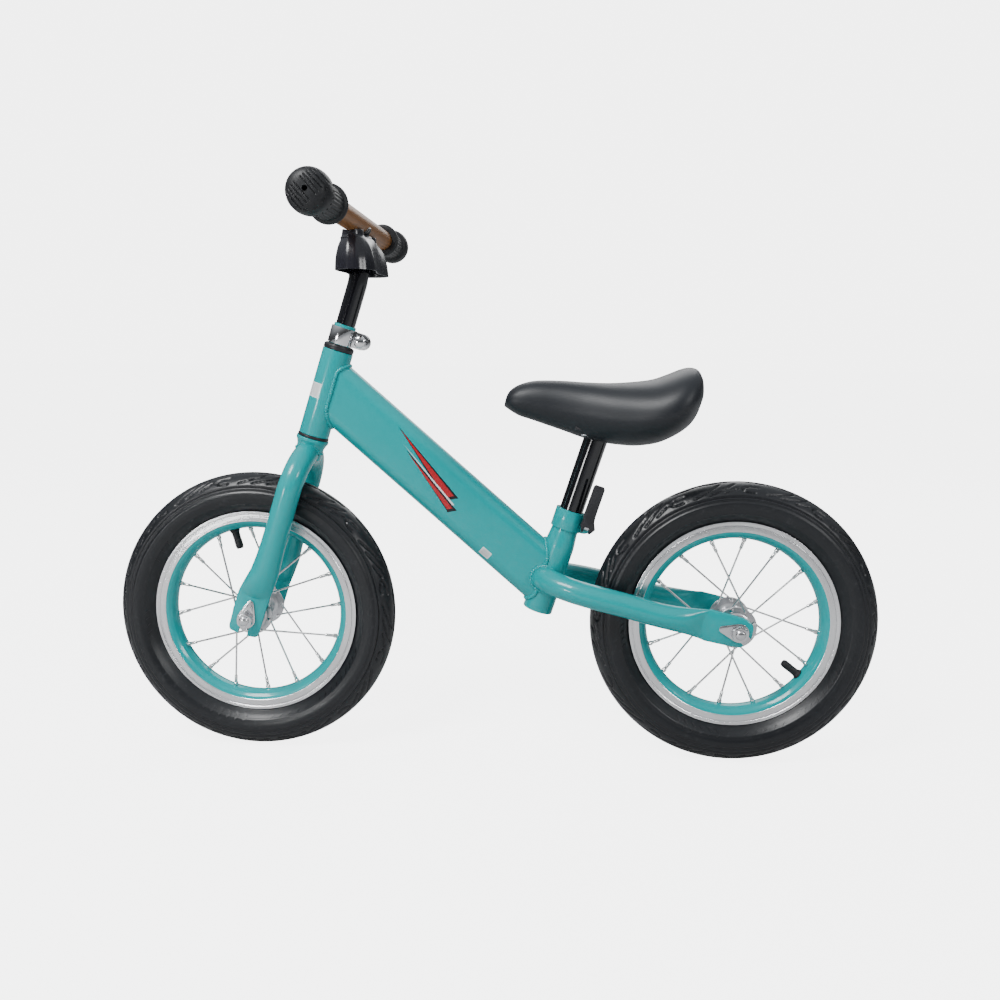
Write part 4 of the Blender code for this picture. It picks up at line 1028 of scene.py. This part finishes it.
STAY_KEYS = [
    (0.0535, 0.0070, 0.1950), (0.0615, 0.0230, 0.1937), (0.0830, 0.0370, 0.1885),
    (0.1080, 0.0430, 0.1830), (0.1400, 0.0440, 0.1755), (0.1730, 0.0435, 0.1668),
    (0.2050, 0.0415, 0.1605), (0.2210, 0.0400, 0.1572),
]


def chainstay_mesh(label, side):
    """Bent stay, pressed flat behind a curved crease into a slotted dropout."""
    steps = 6
    path = [Vector((x, side * y, z)) for x, y, z in spline(STAY_KEYS, steps)]
    runs = headings(path)
    runs[0] = Vector((0, side, 0))
    last = len(path) - 1
    parts, radii, creases = [], [], []
    for i, (point, heading) in enumerate(zip(path, runs)):
        pressed = max(0.0, (i - 5 * steps) / (last - 5 * steps))
        ease = pressed ** 2 * (3 - 2 * pressed)
        parts.append((point, heading, (0, 0, 1)))
        full = LEG_RADIUS + 0.0008 * max(0.0, 1 - i / (2.0 * steps))
        radii.append((full + 0.0043 * pressed ** 1.4, full - 0.0100 * ease ** 1.4))
        creases.append(0.006 * pressed)
    plate_run = Vector((0.0335, 0, -0.0072)).normalized()
    for reach, half in (
        (0.004, 0.0168), (0.020, 0.0166), (0.030, 0.0161), (0.036, 0.0155),
        (0.040, 0.0145), (0.043, 0.0130), (0.0458, 0.0108), (0.0475, 0.0080),
    ):
        parts.append((path[-1] + plate_run * reach, plate_run, (0, 0, 1)))
        radii.append((half, PLATE_HALF))
        creases.append(0.0)
    rings = tubes(*parts, radii=radii, segments=48)
    for ring, (point, heading, _), (half, _), crease in zip(rings, parts, radii, creases):
        if not crease:
            continue
        for i, at in enumerate(ring):
            high = (at.z - point.z) / half
            ring[i] = at + heading * crease * (high * high - 0.6)
    mesh = skin_rings(f"chainstay_{label}_skin", rings, angle=45)
    place = Matrix.Translation(AXLES["rear"] + Vector((0, side * DROPOUT_ACROSS, 0)))
    turn = place @ Matrix.Rotation(math.radians(50), 4, "Y")
    slot = block((0, -0.01, -SLOT_HALF), (0.05, 0.01, SLOT_HALF), turn)
    return carve(mesh, [slot, axle_eye(place), tube_space(SEAT, SEAT_RADIUS, SEAT_LENGTH)])


def stay_welds():
    """Beads round the front ends of both stays, on the flanks of the down tube and seat tube."""
    meshes, reach = [], 0.0133
    for label, side in SIDES:
        loop = []
        for turn in circle(48):
            x, z = 0.0550 + reach * math.cos(turn), 0.1948 + reach * math.sin(turn)
            local = SEAT.inverted() @ Vector((x, side * 0.06, z))
            flank = DOWN_HALF_WIDTH
            if abs(local.x) < SEAT_RADIUS:
                seat_flank = math.sqrt(SEAT_RADIUS ** 2 - local.x ** 2)
                flank = max(flank if local.x < 0 else 0.0, seat_flank)
            loop.append((x, side * (min(flank, 0.0150) + 0.0004), z))
        meshes.append(weld_bead("stay_weld_" + label, loop))
    return join("stay_welds", *meshes)


def frame_welds():
    """Beads where the down tube meets the head tube and the seat tube."""
    run, _ = down_tube_run()
    lines = down_tube_lines(0.0002)
    front = [meets(line, run, HEAD, HEAD_RADIUS + 0.0004, True) for line in lines]
    rear = [meets(line, run, SEAT, SEAT_RADIUS + 0.0004) for line in lines]
    return join("frame_welds", weld_bead("front", front), weld_bead("rear", rear))


# ---------------------------------------------------------------- fork and steerer
def fork_mesh():
    """Both legs in one: dropout, leg, arch, leg, dropout, with curved press lines."""
    arch, offset, radius = 0.060, DROPOUT_ACROSS, LEG_RADIUS
    foot = [  # height over the axle, half width, half thickness, depth of the press line
        (-0.0171, 0.0125, PLATE_HALF, 0), (-0.0168, 0.0139, PLATE_HALF, 0),
        (-0.0160, 0.0150, PLATE_HALF, 0), (-0.0145, 0.0159, PLATE_HALF, 0),
        (-0.0120, 0.0165, PLATE_HALF, 0), (0.0040, 0.0168, PLATE_HALF, 0),
        (0.0250, 0.0168, PLATE_HALF, 0), (0.0285, 0.0168, 0.0027, 0.004),
        (0.0310, 0.0167, 0.0040, 0.005), (0.0345, 0.0165, 0.0066, 0.004),
        (0.0390, 0.0162, 0.0092, 0.002), (0.0450, 0.0156, 0.0112, 0), (0.0540, 0.0149, 0.0122, 0),
    ]
    axle_z, rake = -0.2014, -0.0049
    parts, radii, creases = [], [], []
    for rise, wide, thick, crease in foot:
        ahead = rake * max(0.0, min(1.0, (0.0560 - rise) / 0.030))
        parts.append((Vector((ahead, -offset, axle_z + rise)), (0, 0, 1), (-1, 0, 0)))
        radii.append((wide, thick))
        creases.append(crease)
    for z, wide in ((-0.132, 0.0136), (-0.117, 0.0129), (-0.100, 0.0126), (-0.080, 0.0125)):
        parts.append((Vector((0, -offset, z)), (0, 0, 1), (-1, 0, 0)))
        radii.append((wide, radius))
        creases.append(0)
    for i in range(13):
        turn = math.pi / 2 * (1 - i / 12)
        parts.append((
            Vector((0, -offset * math.sin(turn), -arch + offset * math.cos(turn))),
            (0, math.cos(turn), math.sin(turn)), (-1, 0, 0),
        ))
        radii.append((radius, radius))
        creases.append(0)
    for part, size, crease in list(zip(parts, radii, creases))[-2::-1]:
        point, heading, side = part
        parts.append((Vector((point[0], -point[1], point[2])), (0, heading[1], -heading[2]), side))
        radii.append(size)
        creases.append(crease)
    rings = tubes(*parts, radii=radii, segments=48)
    for ring, (point, _, _), (wide, _), crease in zip(rings, parts, radii, creases):
        if not crease:
            continue
        for i, at in enumerate(ring):
            out = (at.x - point.x) / wide
            ring[i] = at - Vector((0, 0, crease * (1 - out * out)))
    mesh = skin_rings("fork_blades", rings, matrix=HEAD, angle=45)
    cutters = []
    for _, side in SIDES:
        axle = Vector((rake, side * offset, axle_z))
        low, high = Vector((-SLOT_HALF, -0.01, -0.04)), Vector((SLOT_HALF, 0.01, 0))
        cutters.append(block(axle + low, axle + high, HEAD))
        cutters.append(axle_eye(HEAD @ Matrix.Translation(axle)))
    return carve(mesh, cutters)


def steerer_mesh():
    """Steerer tube with the crown's seat and the sleeve under it."""
    profile = [
        (0.0104, 0.1195), (0.0115, 0.1195), (0.0115, -0.0032), (0.0168, -0.0034),
        (0.0172, -0.0058), (0.0158, -0.0085), (0.0144, -0.0125), (0.0140, -0.0200),
        (0.0140, -0.0250), (0.0104, -0.0250),
    ]
    return lathe("steerer_and_crown", profile, HEAD, 96, 0.0006)


def crown_weld():
    """Bead where the crown's sleeve meets the blades' arch."""
    loop, sleeve, arch = [], 0.0142, 0.060
    for turn in circle(64):
        x, y = sleeve * math.cos(turn), sleeve * math.sin(turn)
        reach = math.sqrt(max(LEG_RADIUS ** 2 - min(abs(x), 0.0122) ** 2, 0.0))
        drop = math.sqrt(max((DROPOUT_ACROSS + reach) ** 2 - y * y, 0.0))
        loop.append(HEAD @ Vector((x, y, -arch + drop)))
    return weld_bead("crown_weld", loop, radius=0.0013)


# ---------------------------------------------------------------- stem, bar and grips
STEM_RADIUS, BAR_RADIUS = 0.0101, 0.0111


def stem_mesh():
    """Round stem: straight in the steerer, then bent upright to meet the bar."""
    bend, straight = 0.070, 0.160
    parts = [(Vector((0, 0, z)), (0, 0, 1), (0, 1, 0)) for z in (0.046, 0.10, 0.14, straight)]
    for i in range(1, 13):
        turn = HEAD_ANGLE * i / 12
        parts.append((
            Vector((-bend + bend * math.cos(turn), 0, straight + bend * math.sin(turn))),
            (-math.sin(turn), 0, math.cos(turn)), (0, 1, 0),
        ))
    last, heading = parts[-1][0], Vector(parts[-1][1])
    end = HEAD.inverted() @ BAR_CENTRE
    for i in range(1, 5):
        parts.append((last.lerp(end - heading * 0.004, i / 4), heading, (0, 1, 0)))
    rings = tubes(*parts, radii=[(STEM_RADIUS, STEM_RADIUS)] * len(parts), segments=64)
    return skin_rings("stem_skin", rings, matrix=HEAD, angle=50)


def stem_weld():
    """Bead round the stem's top, under the bar."""
    loop, lower = [], 0.0002
    for turn in circle(48):
        x, y = STEM_RADIUS * math.cos(turn), STEM_RADIUS * math.sin(turn)
        drop = math.sqrt(max(BAR_RADIUS ** 2 - x * x, 0.0))
        loop.append(BAR_CENTRE + Vector((x, y, -drop - lower)))
    return weld_bead("stem_weld", loop)


def bar_mesh():
    """Straight round bar, open at both ends."""
    bore, half = 0.0096, 0.2030
    profile = [(BAR_RADIUS, -half), (BAR_RADIUS, half), (bore, half), (bore, -half)]
    place = Matrix.Translation(BAR_CENTRE) @ ACROSS
    return lathe("handlebar_skin", profile, place, 96, 0.0005)


def ramp(distance, width):
    """0 at no distance, rising to 1 over the width."""
    return np.clip(distance / width, 0, 1)


def grip_mesh(label, side):
    """Grip with a ribbed barrel, a collar and a ball end scored with parallel grooves."""
    start, ball = 0.128, 0.186
    keys = [
        (0.0116, start), (0.0150, start - 0.0001), (0.0172, start + 0.0006),
        (0.0181, start + 0.0026), (0.0178, start + 0.0052), (0.0160, start + 0.0070),
        (0.0149, start + 0.0086), (0.0149, start + 0.0200), (0.0149, start + 0.0350),
        (0.0149, ball - 0.0060), (0.0152, ball - 0.0032), (0.0176, ball - 0.0012),
        (0.0191, ball + 0.0016), (0.0196, ball + 0.0060), (0.0196, ball + 0.0110),
        (0.0189, ball + 0.0160), (0.0170, ball + 0.0205), (0.0135, ball + 0.0238),
        (0.0085, ball + 0.0255), (0.0024, ball + 0.0259),
    ]
    fine = np.asarray(spline(keys, 9))
    radius, height = fine[:, 0].copy(), fine[:, 1]
    turns = np.linspace(0, 2 * math.pi, 240, endpoint=False)
    grid = np.repeat(radius[None, :], len(turns), axis=0)
    barrel = ramp(height - start - 0.0090, 0.001) * ramp(ball - 0.0050 - height, 0.001)
    ribs = 0.5 + 0.5 * np.clip(np.cos(turns * sizes().grip_ribs) * 2.2, -1, 1)
    grid += (0.0007 * (ribs - 1))[:, None] * barrel[None, :]
    notch = ramp(height - ball - 0.0042, 0.0006) * ramp(ball + 0.0088 - height, 0.0006)
    teeth = np.clip(np.cos(turns * 24) * 3 - 1.2, 0, 1)
    grid -= 0.0009 * teeth[:, None] * notch[None, :]
    tops = np.repeat(height[None, :], len(turns), axis=0).copy()
    face = ramp(height - ball - 0.0120, 0.0015)
    slant = -side * math.radians(42)
    wide = radius[None, :] * np.cos(turns - slant)[:, None]
    tall = radius[None, :] * np.sin(turns - slant)[:, None]
    scored = np.clip(np.cos(wide / 0.0034 * 2 * math.pi) * 3 - 1.4, 0, 1)
    clear = ramp(np.abs(wide) - 0.0022, 0.0006) * ramp(0.0098 - np.abs(tall), 0.0008)
    edge = ramp(radius - 0.0158, 0.0004) * ramp(0.0172 - radius, 0.0004)
    dashes = np.clip(np.cos(turns * 12) * 4, 0, 1)[:, None] * edge[None, :]
    tops -= 0.0010 * np.maximum(scored * clear, dashes) * face[None, :]
    rings = [
        [
            (grid[j, i] * math.cos(turn), grid[j, i] * math.sin(turn), tops[j, i])
            for j, turn in enumerate(turns)
        ]
        for i in range(len(height))
    ]
    for reach, high in ((0.0022, 0.2060), (0.0114, 0.2040), (0.0114, start)):
        rings.append([(reach * math.cos(t), reach * math.sin(t), high) for t in turns])
    matrix = Matrix.Translation(BAR_CENTRE) @ Matrix.Rotation(-math.pi / 2 * side, 4, "X")
    return skin_rings(f"grip_{label}_rubber", rings, closed=True, matrix=matrix, angle=70)


def cover_outline(height, spread, lobe, waist, shift, ridges=0.0, steps=28):
    """Level outline of the cover: two round lobes, joined by sides that draw in to a waist."""
    points = []
    for end in (1, -1):
        for i in range(steps + 1):
            turn = math.pi * i / steps
            reach = lobe - ridges * (0.5 + 0.5 * math.cos(turn * 12))
            x, y = shift + end * reach * math.cos(turn), end * (spread + reach * math.sin(turn))
            points.append((x, y, height))
        for i in range(1, 12):
            part = 1 - i / 6
            x = lobe + (waist - lobe) * math.cos(math.pi / 2 * part) ** 2 - ridges * abs(part)
            points.append((shift - end * x, end * spread * part, height))
    return points


def cover_mesh():
    """Thin moulded cover, open below: a neck on the stem between two fluted lobes under the bar."""
    wall, neck, foot = 0.0014, 0.0121, -0.0490
    keys = [
        # height, spread, lobe, waist, shift, ridges
        (-0.0122, 0.0004, neck, neck, 0.0, 0.0),
        (-0.0140, 0.0020, neck + 0.0004, neck + 0.0004, 0.0004, 0.0),
        (-0.0146, 0.0120, 0.0108, 0.0129, 0.0006, 0.0),
        (-0.0152, 0.0230, 0.0104, 0.0132, 0.0009, 0.0),
        (-0.0160, 0.0320, 0.0108, 0.0136, 0.0012, 0.0),
        (-0.0195, 0.0330, 0.0134, 0.0143, 0.0018, 0.0002),
        (-0.0265, 0.0335, 0.0169, 0.0151, 0.0026, 0.0005),
        (-0.0370, 0.0340, 0.0195, 0.0158, 0.0031, 0.0006),
        (foot, 0.0340, 0.0206, 0.0164, 0.0035, 0.0006),
    ]
    levels = spline(keys, 5)
    outer = [cover_outline(*level) for level in levels]
    inner = []
    for height, spread, lobe, waist, shift, _ in levels:
        drop = min(wall, max(0.0, height - foot))
        inner.append(cover_outline(
            height - drop, spread, max(lobe - wall, 0.0104), max(waist - wall, 0.0104), shift
        ))
    inner[-1] = cover_outline(foot, 0.0340, 0.0206 - wall, 0.0164 - wall, 0.0035)
    place = Matrix.Translation(BAR_CENTRE)
    shells = [skin_rings("cover_shell", outer + inner[::-1], closed=True, matrix=place, angle=60)]
    collar = [
        (0, -0.0180), (0.0128, -0.0180), (0.0118, -0.0165), (0.0110, -0.0150),
        (0.0108, -0.0130), (0.0104, -0.0095), (0, -0.0095),
    ]
    clear = 0.0114
    bar = [(0, -0.06), (clear, -0.06), (clear, 0.06), (0, 0.06)]
    for _, side in SIDES:
        lobe_place = place @ Matrix.Translation((0.0006, side * 0.0328, 0))
        cup = lathe("cup", collar, lobe_place, 64, 0.0003, loop=False)
        shells.append(carve(cup, [lathe("bar", bar, place @ ACROSS, 96, 0, loop=False)]))
    return join("stem_cover_shell", *shells)


# ---------------------------------------------------------------- saddle and post
SADDLE_TOP = [
    (0.0110, 0.3770), (0.0136, 0.3860), (0.0192, 0.3925), (0.0289, 0.3975), (0.0442, 0.4008),
    (0.0697, 0.4009), (0.0952, 0.3996), (0.1207, 0.3992), (0.1462, 0.4010), (0.1636, 0.4036),
    (0.1789, 0.4090), (0.1911, 0.4140), (0.1998, 0.4160), (0.2064, 0.4140), (0.2105, 0.4080),
]
SADDLE_UNDER = [
    (0.0110, 0.3735), (0.0248, 0.3650), (0.0411, 0.3597), (0.0717, 0.3497), (0.0942, 0.3422),
    (0.1176, 0.3374), (0.1309, 0.3360), (0.1462, 0.3355), (0.1656, 0.3383), (0.1799, 0.3440),
    (0.1952, 0.3535), (0.2044, 0.3640), (0.2105, 0.3780),
]
SADDLE_HALF = [
    (0.0110, 0.0060), (0.0136, 0.0135), (0.0192, 0.0185), (0.0289, 0.0215), (0.0442, 0.0237),
    (0.0697, 0.0272), (0.0952, 0.0340), (0.1207, 0.0450), (0.1462, 0.0570), (0.1666, 0.0640),
    (0.1840, 0.0655), (0.1972, 0.0605), (0.2054, 0.0500), (0.2105, 0.0330),
]


def saddle_mesh():
    """Foam saddle: crowned top, full shoulders, sides drawn in to a rounded underside."""
    table = [np.asarray(spline(keys, 6)) for keys in (SADDLE_TOP, SADDLE_UNDER, SADDLE_HALF)]
    places = 0.11075 - 0.09975 * np.cos(np.linspace(0.0, math.pi, 60))
    rings, count = [], 72
    for x in places:
        top, under, half = [float(np.interp(x, keys[:, 0], keys[:, 1])) for keys in table]
        middle = under + 0.45 * (top - under)
        ring = []
        for turn in circle(count):
            up, out = math.sin(turn), math.cos(turn)
            across = half * math.copysign(abs(out) ** (0.74 if up > 0 else 0.62), out)
            high = middle + ((top - middle) * up ** 0.95 if up > 0 else (middle - under) * up)
            if up < 0:
                across *= 1 - 0.30 * abs(up) ** 1.5
            ring.append((x, across, high))
        rings.append(ring)
    return skin_rings("saddle_cushion", rings, angle=80)


def post_mesh():
    """Seat post, cut level under its plate."""
    low, top, radius = SEAT_LENGTH - 0.066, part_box("seat_post")[1].z, 0.0125
    rings = []
    for height in (low, None):
        ring = []
        for turn in circle(96):
            at = SEAT @ Vector((radius * math.cos(turn), radius * math.sin(turn), low))
            if height is None:
                run = SEAT.to_3x3() @ Vector((0, 0, 1))
                at = at + run * ((top - at.z) / run.z)
            ring.append(at)
        rings.append(ring)
    return skin_rings("seat_post_skin", rings)


# ---------------------------------------------------------------- operators
class BuildOperator(bpy.types.Operator):
    """Builds one group of pieces."""

    bl_options = {"REGISTER", "UNDO"}

    def execute(self, context):
        self.build()
        return {"FINISHED"}


class BIKE_OT_stage(BuildOperator):
    """Floor, soft lights and camera"""

    bl_idname = "balance_bike.stage"
    bl_label = "Stage"

    def build(self):
        scene = bpy.context.scene
        floor_finish = Finish(
            "studio_floor", Roughness=0.9, Specular_IOR_Level=0.1, Emission_Strength=4.6
        )
        floor_finish.feed("Base Color", floor_finish.mix(
            floor_finish.noise(3.0), shade(colours().floor, 0.99), shade(colours().floor, 1.01)
        ))
        seen = floor_finish.node("ShaderNodeLightPath", {}, [])
        black, white = (0.0, 0.0, 0.0), (1.0, 1.0, 1.0)
        floor_finish.feed("Emission Color", floor_finish.mix(seen, black, white))
        size = 60.0
        corners = [(-size, -size, 0), (size, -size, 0), (size, size, 0), (-size, size, 0)]
        mesh = bpy.data.meshes.new("studio_floor")
        mesh.from_pydata(corners, [], [(0, 1, 2, 3)])
        mesh.materials.append(floor_finish.material)
        floor = temporary(mesh, "studio_floor")
        world = bpy.data.worlds.new("studio")
        world.use_nodes = True
        nodes, links = world.node_tree.nodes, world.node_tree.links
        light, backdrop = nodes["Background"], nodes.new("ShaderNodeBackground")
        light.inputs["Color"].default_value = (0.92, 0.96, 1.0, 1.0)
        where, split = nodes.new("ShaderNodeTexCoord"), nodes.new("ShaderNodeSeparateXYZ")
        height = nodes.new("ShaderNodeMapRange")
        height.interpolation_type = "SMOOTHSTEP"
        for label, amount in (
            ("From Min", 0.05), ("From Max", 0.80), ("To Min", 0.06), ("To Max", 0.75),
        ):
            height.inputs[label].default_value = amount
        links.new(where.outputs["Generated"], split.inputs[0])
        links.new(split.outputs["Z"], height.inputs["Value"])
        links.new(height.outputs["Result"], light.inputs["Strength"])
        backdrop.inputs["Color"].default_value = (1.0, 1.0, 1.0, 1.0)
        backdrop.inputs["Strength"].default_value = 5.0
        choice, path = nodes.new("ShaderNodeMixShader"), nodes.new("ShaderNodeLightPath")
        links.new(path.outputs["Is Camera Ray"], choice.inputs[0])
        links.new(light.outputs[0], choice.inputs[1])
        links.new(backdrop.outputs[0], choice.inputs[2])
        links.new(choice.outputs[0], nodes["World Output"].inputs["Surface"])
        scene.world = world
        for name, place, size, power in (
            ("key_light", (-1.1, -1.3, 2.2), 0.8, 62),
            ("side_light", (1.9, -1.5, 1.2), 0.5, 14),
            ("back_light", (0.3, 2.2, 1.8), 1.6, 22),
            ("low_light", (-1.3, -1.7, 0.45), 0.3, 9),
        ):
            light = bpy.data.lights.new(name, "AREA")
            light.size, light.energy = size, power
            lamp = bpy.data.objects.new(name, light)
            lamp.location = place
            aim = Vector((0, 0, 0.28)) - Vector(place)
            lamp.rotation_euler = aim.to_track_quat("-Z", "Y").to_euler()
            scene.collection.objects.link(lamp)
        self.camera(scene)

    def camera(self, scene):
        """A camera low on the bike's left side."""
        yaw, pitch, roll = math.radians(3.52), math.radians(8.25), math.radians(0.67)
        forward = Vector((
            -math.sin(yaw) * math.cos(pitch), math.cos(yaw) * math.cos(pitch), -math.sin(pitch)
        ))
        level = Vector((math.cos(yaw), math.sin(yaw), 0))
        upright = level.cross(forward)
        right = level * math.cos(roll) + upright * math.sin(roll)
        up = upright * math.cos(roll) - level * math.sin(roll)
        data = bpy.data.cameras.new("camera")
        data.sensor_width, data.lens = 36, 34.7
        camera = bpy.data.objects.new("camera", data)
        turn = Matrix((right, up, -forward)).transposed().to_4x4()
        camera.matrix_world = Matrix.Translation((0.069, -1.004, 0.421)) @ turn
        scene.collection.objects.link(camera)
        scene.camera = camera


class BIKE_OT_tyres(BuildOperator):
    """Tyres with their tread and sidewall marks, and the tubes with their valves"""

    bl_idname = "balance_bike.tyres"
    bl_label = "Tyres"

    def build(self):
        rubber, tube = tyre_rubber(), grip_rubber()
        for end in AXLES:
            body = end + "_wheel"
            piece(tyre_mesh(end), body, "tyre_rubber", rubber, end + "_tyre")
            piece(sidewall_marks(end, rubber), body, "tyre_rubber", rubber)
            piece(valve_mesh(end), body, "tube_rubber", tube, end + "_inner_tube")


class BIKE_OT_wheels(BuildOperator):
    """Rims, hubs and crossed spokes"""

    bl_idname = "balance_bike.wheels"
    bl_label = "Rims, hubs and spokes"

    def build(self):
        steel = bright_plate("spoke_steel", (0.90, 0.90, 0.91), 0.14, 0.10)
        brass = bright_plate("nipple_plate", (0.86, 0.86, 0.86), 0.18, 0.10)
        shell = bright_plate("hub_plate", (0.62, 0.62, 0.64), 0.20, 0.22)
        for end in AXLES:
            body = end + "_wheel"
            finishes = [turned_alloy(end), frame_enamel()]
            piece(rim_mesh(end), body, "rim_aluminium", finishes, end + "_rim")
            wires, nipples = spoke_meshes(end, steel, brass)
            piece(wires, body, "zinc", steel)
            piece(nipples, body, "zinc", brass)
            piece(hub_mesh(end), body, "zinc", shell, end + "_hub")


class BIKE_OT_axles(BuildOperator):
    """Axle studs, cones, tab washers and nuts"""

    bl_idname = "balance_bike.axles"
    bl_label = "Axles"

    def build(self):
        plate = bright_plate("zinc_plate")
        for end, body in (("front", "fork"), ("rear", "frame")):
            piece(stud_mesh(end), body, "zinc", plate, end + "_axle")
            for label, side in SIDES:
                piece(nut_mesh(end, label, side), body, "zinc", plate, f"{end}_axle_nut_{label}")
                refine_nodes(body, "zinc", plate, f"{end}_tab_washer_{label}", width=0.0004)
                refine_nodes(body, "zinc", plate, f"{end}_cone_{label}")


class BIKE_OT_frame(BuildOperator):
    """Head tube, down tube, seat tube and stays with their welds"""

    bl_idname = "balance_bike.frame"
    bl_label = "Frame"

    def build(self):
        paint = frame_enamel()
        piece(head_tube_mesh(), "frame", "teal_paint", labelled_enamel(), "head_tube")
        piece(seat_tube_mesh(), "frame", "teal_paint", paint, "seat_tube")
        piece(down_tube_mesh(), "frame", "teal_paint", striped_enamel(), "down_tube")
        for label, side in SIDES:
            piece(chainstay_mesh(label, side), "frame", "teal_paint", paint, "chainstay_" + label)
        piece(frame_welds(), "frame", "teal_paint", paint)
        piece(stay_welds(), "frame", "teal_paint", paint)
        plastic = moulded_plastic("headset_plastic")
        cups = ("upper_headset_cup", "lower_headset_cup")
        refine_nodes("frame", "black_plastic", plastic, *cups, width=0.0006)


class BIKE_OT_fork(BuildOperator):
    """Fork blades, steerer with its crown, and the stem's clamp"""

    bl_idname = "balance_bike.fork"
    bl_label = "Fork"

    def build(self):
        paint = frame_enamel()
        piece(fork_mesh(), "fork", "teal_paint", paint, "fork_leg_left", "fork_leg_right")
        piece(steerer_mesh(), "fork", "teal_paint", paint, "steerer_tube")
        piece(crown_weld(), "fork", "teal_paint", paint)
        shiny = bright_plate("clamp_chrome", (0.80, 0.80, 0.82), 0.07, 0.08)
        clamp = ("stem_clamp", "stem_clamp_bolt", "stem_clamp_nut")
        refine_nodes("fork", "chrome", shiny, *clamp, width=0.0007)


class BIKE_OT_handlebar(BuildOperator):
    """Stem, bar, grips and the stem's cover"""

    bl_idname = "balance_bike.handlebar"
    bl_label = "Handlebar"

    def build(self):
        black = black_enamel()
        piece(stem_mesh(), "handlebar", "black_gloss", black, "stem_tube")
        piece(stem_weld(), "handlebar", "black_gloss", black)
        piece(bar_mesh(), "handlebar", "bronze_paint", bronze_paint(), "handlebar_tube")
        rubber = grip_rubber()
        for label, side in SIDES:
            piece(grip_mesh(label, side), "handlebar", "grip_rubber", rubber, "grip_" + label)
        cover = moulded_plastic("cover_plastic", (0.014, 0.014, 0.019), 0.14)
        piece(cover_mesh(), "handlebar", "black_gloss", cover, "stem_cover")


class BIKE_OT_seat(BuildOperator):
    """Saddle, post, plate, screws and the quick-release clamp"""

    bl_idname = "balance_bike.seat"
    bl_label = "Seat"

    def build(self):
        saddle = piece(saddle_mesh(), "seat", "saddle_skin", saddle_skin(), "saddle")
        black, plastic = black_enamel(), moulded_plastic("clamp_plastic")
        piece(post_mesh(), "seat", "black_gloss", black, "seat_post")
        refine_nodes("seat", "black_gloss", black, "seat_post_plate", width=0.0008)
        refine_nodes("seat", "black_plastic", plastic, "saddle_pan", width=0.0008)
        zinc = bright_plate("screw_plate")
        refine_nodes("seat", "zinc", zinc, *[f"saddle_screw_{i}" for i in range(1, 5)])
        refine_nodes("frame", "teal_paint", frame_enamel(), "seat_clamp_collar", width=0.0009)
        refine_nodes("frame", "zinc", zinc, "seat_clamp_skewer", "lever_pin")
        mouldings = ("seat_clamp_nut", "lever_cam_seat")
        refine_nodes("frame", "black_plastic", plastic, *mouldings, width=0.0005)
        refine_nodes("qr_lever", "black_plastic", plastic, "quick_release_lever", width=0.0012)


OPERATORS = (
    BIKE_OT_stage, BIKE_OT_tyres, BIKE_OT_wheels, BIKE_OT_axles, BIKE_OT_frame, BIKE_OT_fork,
    BIKE_OT_handlebar, BIKE_OT_seat,
)


class BIKE_PT_panel(bpy.types.Panel):
    """Lists the bike's builders, sizes and colours"""

    bl_idname = "BIKE_PT_panel"
    bl_label = "Balance Bike"
    bl_space_type = "VIEW_3D"
    bl_region_type = "UI"
    bl_category = "Balance Bike"

    def draw(self, context):
        for group in (context.scene.bike_colours, context.scene.bike_sizes):
            for label in group.__annotations__:
                self.layout.prop(group, label)
        for operator in OPERATORS:
            self.layout.operator(operator.bl_idname)


CLASSES = (BikeColours, BikeSizes, *OPERATORS, BIKE_PT_panel)


def register():
    for made in CLASSES:
        bpy.utils.register_class(made)
    bpy.types.Scene.bike_colours = bpy.props.PointerProperty(type=BikeColours)
    bpy.types.Scene.bike_sizes = bpy.props.PointerProperty(type=BikeSizes)


def unregister():
    del bpy.types.Scene.bike_sizes
    del bpy.types.Scene.bike_colours
    for made in reversed(CLASSES):
        bpy.utils.unregister_class(made)


def main():
    register()
    for operator in OPERATORS:
        family, name = operator.bl_idname.split(".")
        getattr(getattr(bpy.ops, family), name)()


if __name__ == "__main__":
    main()
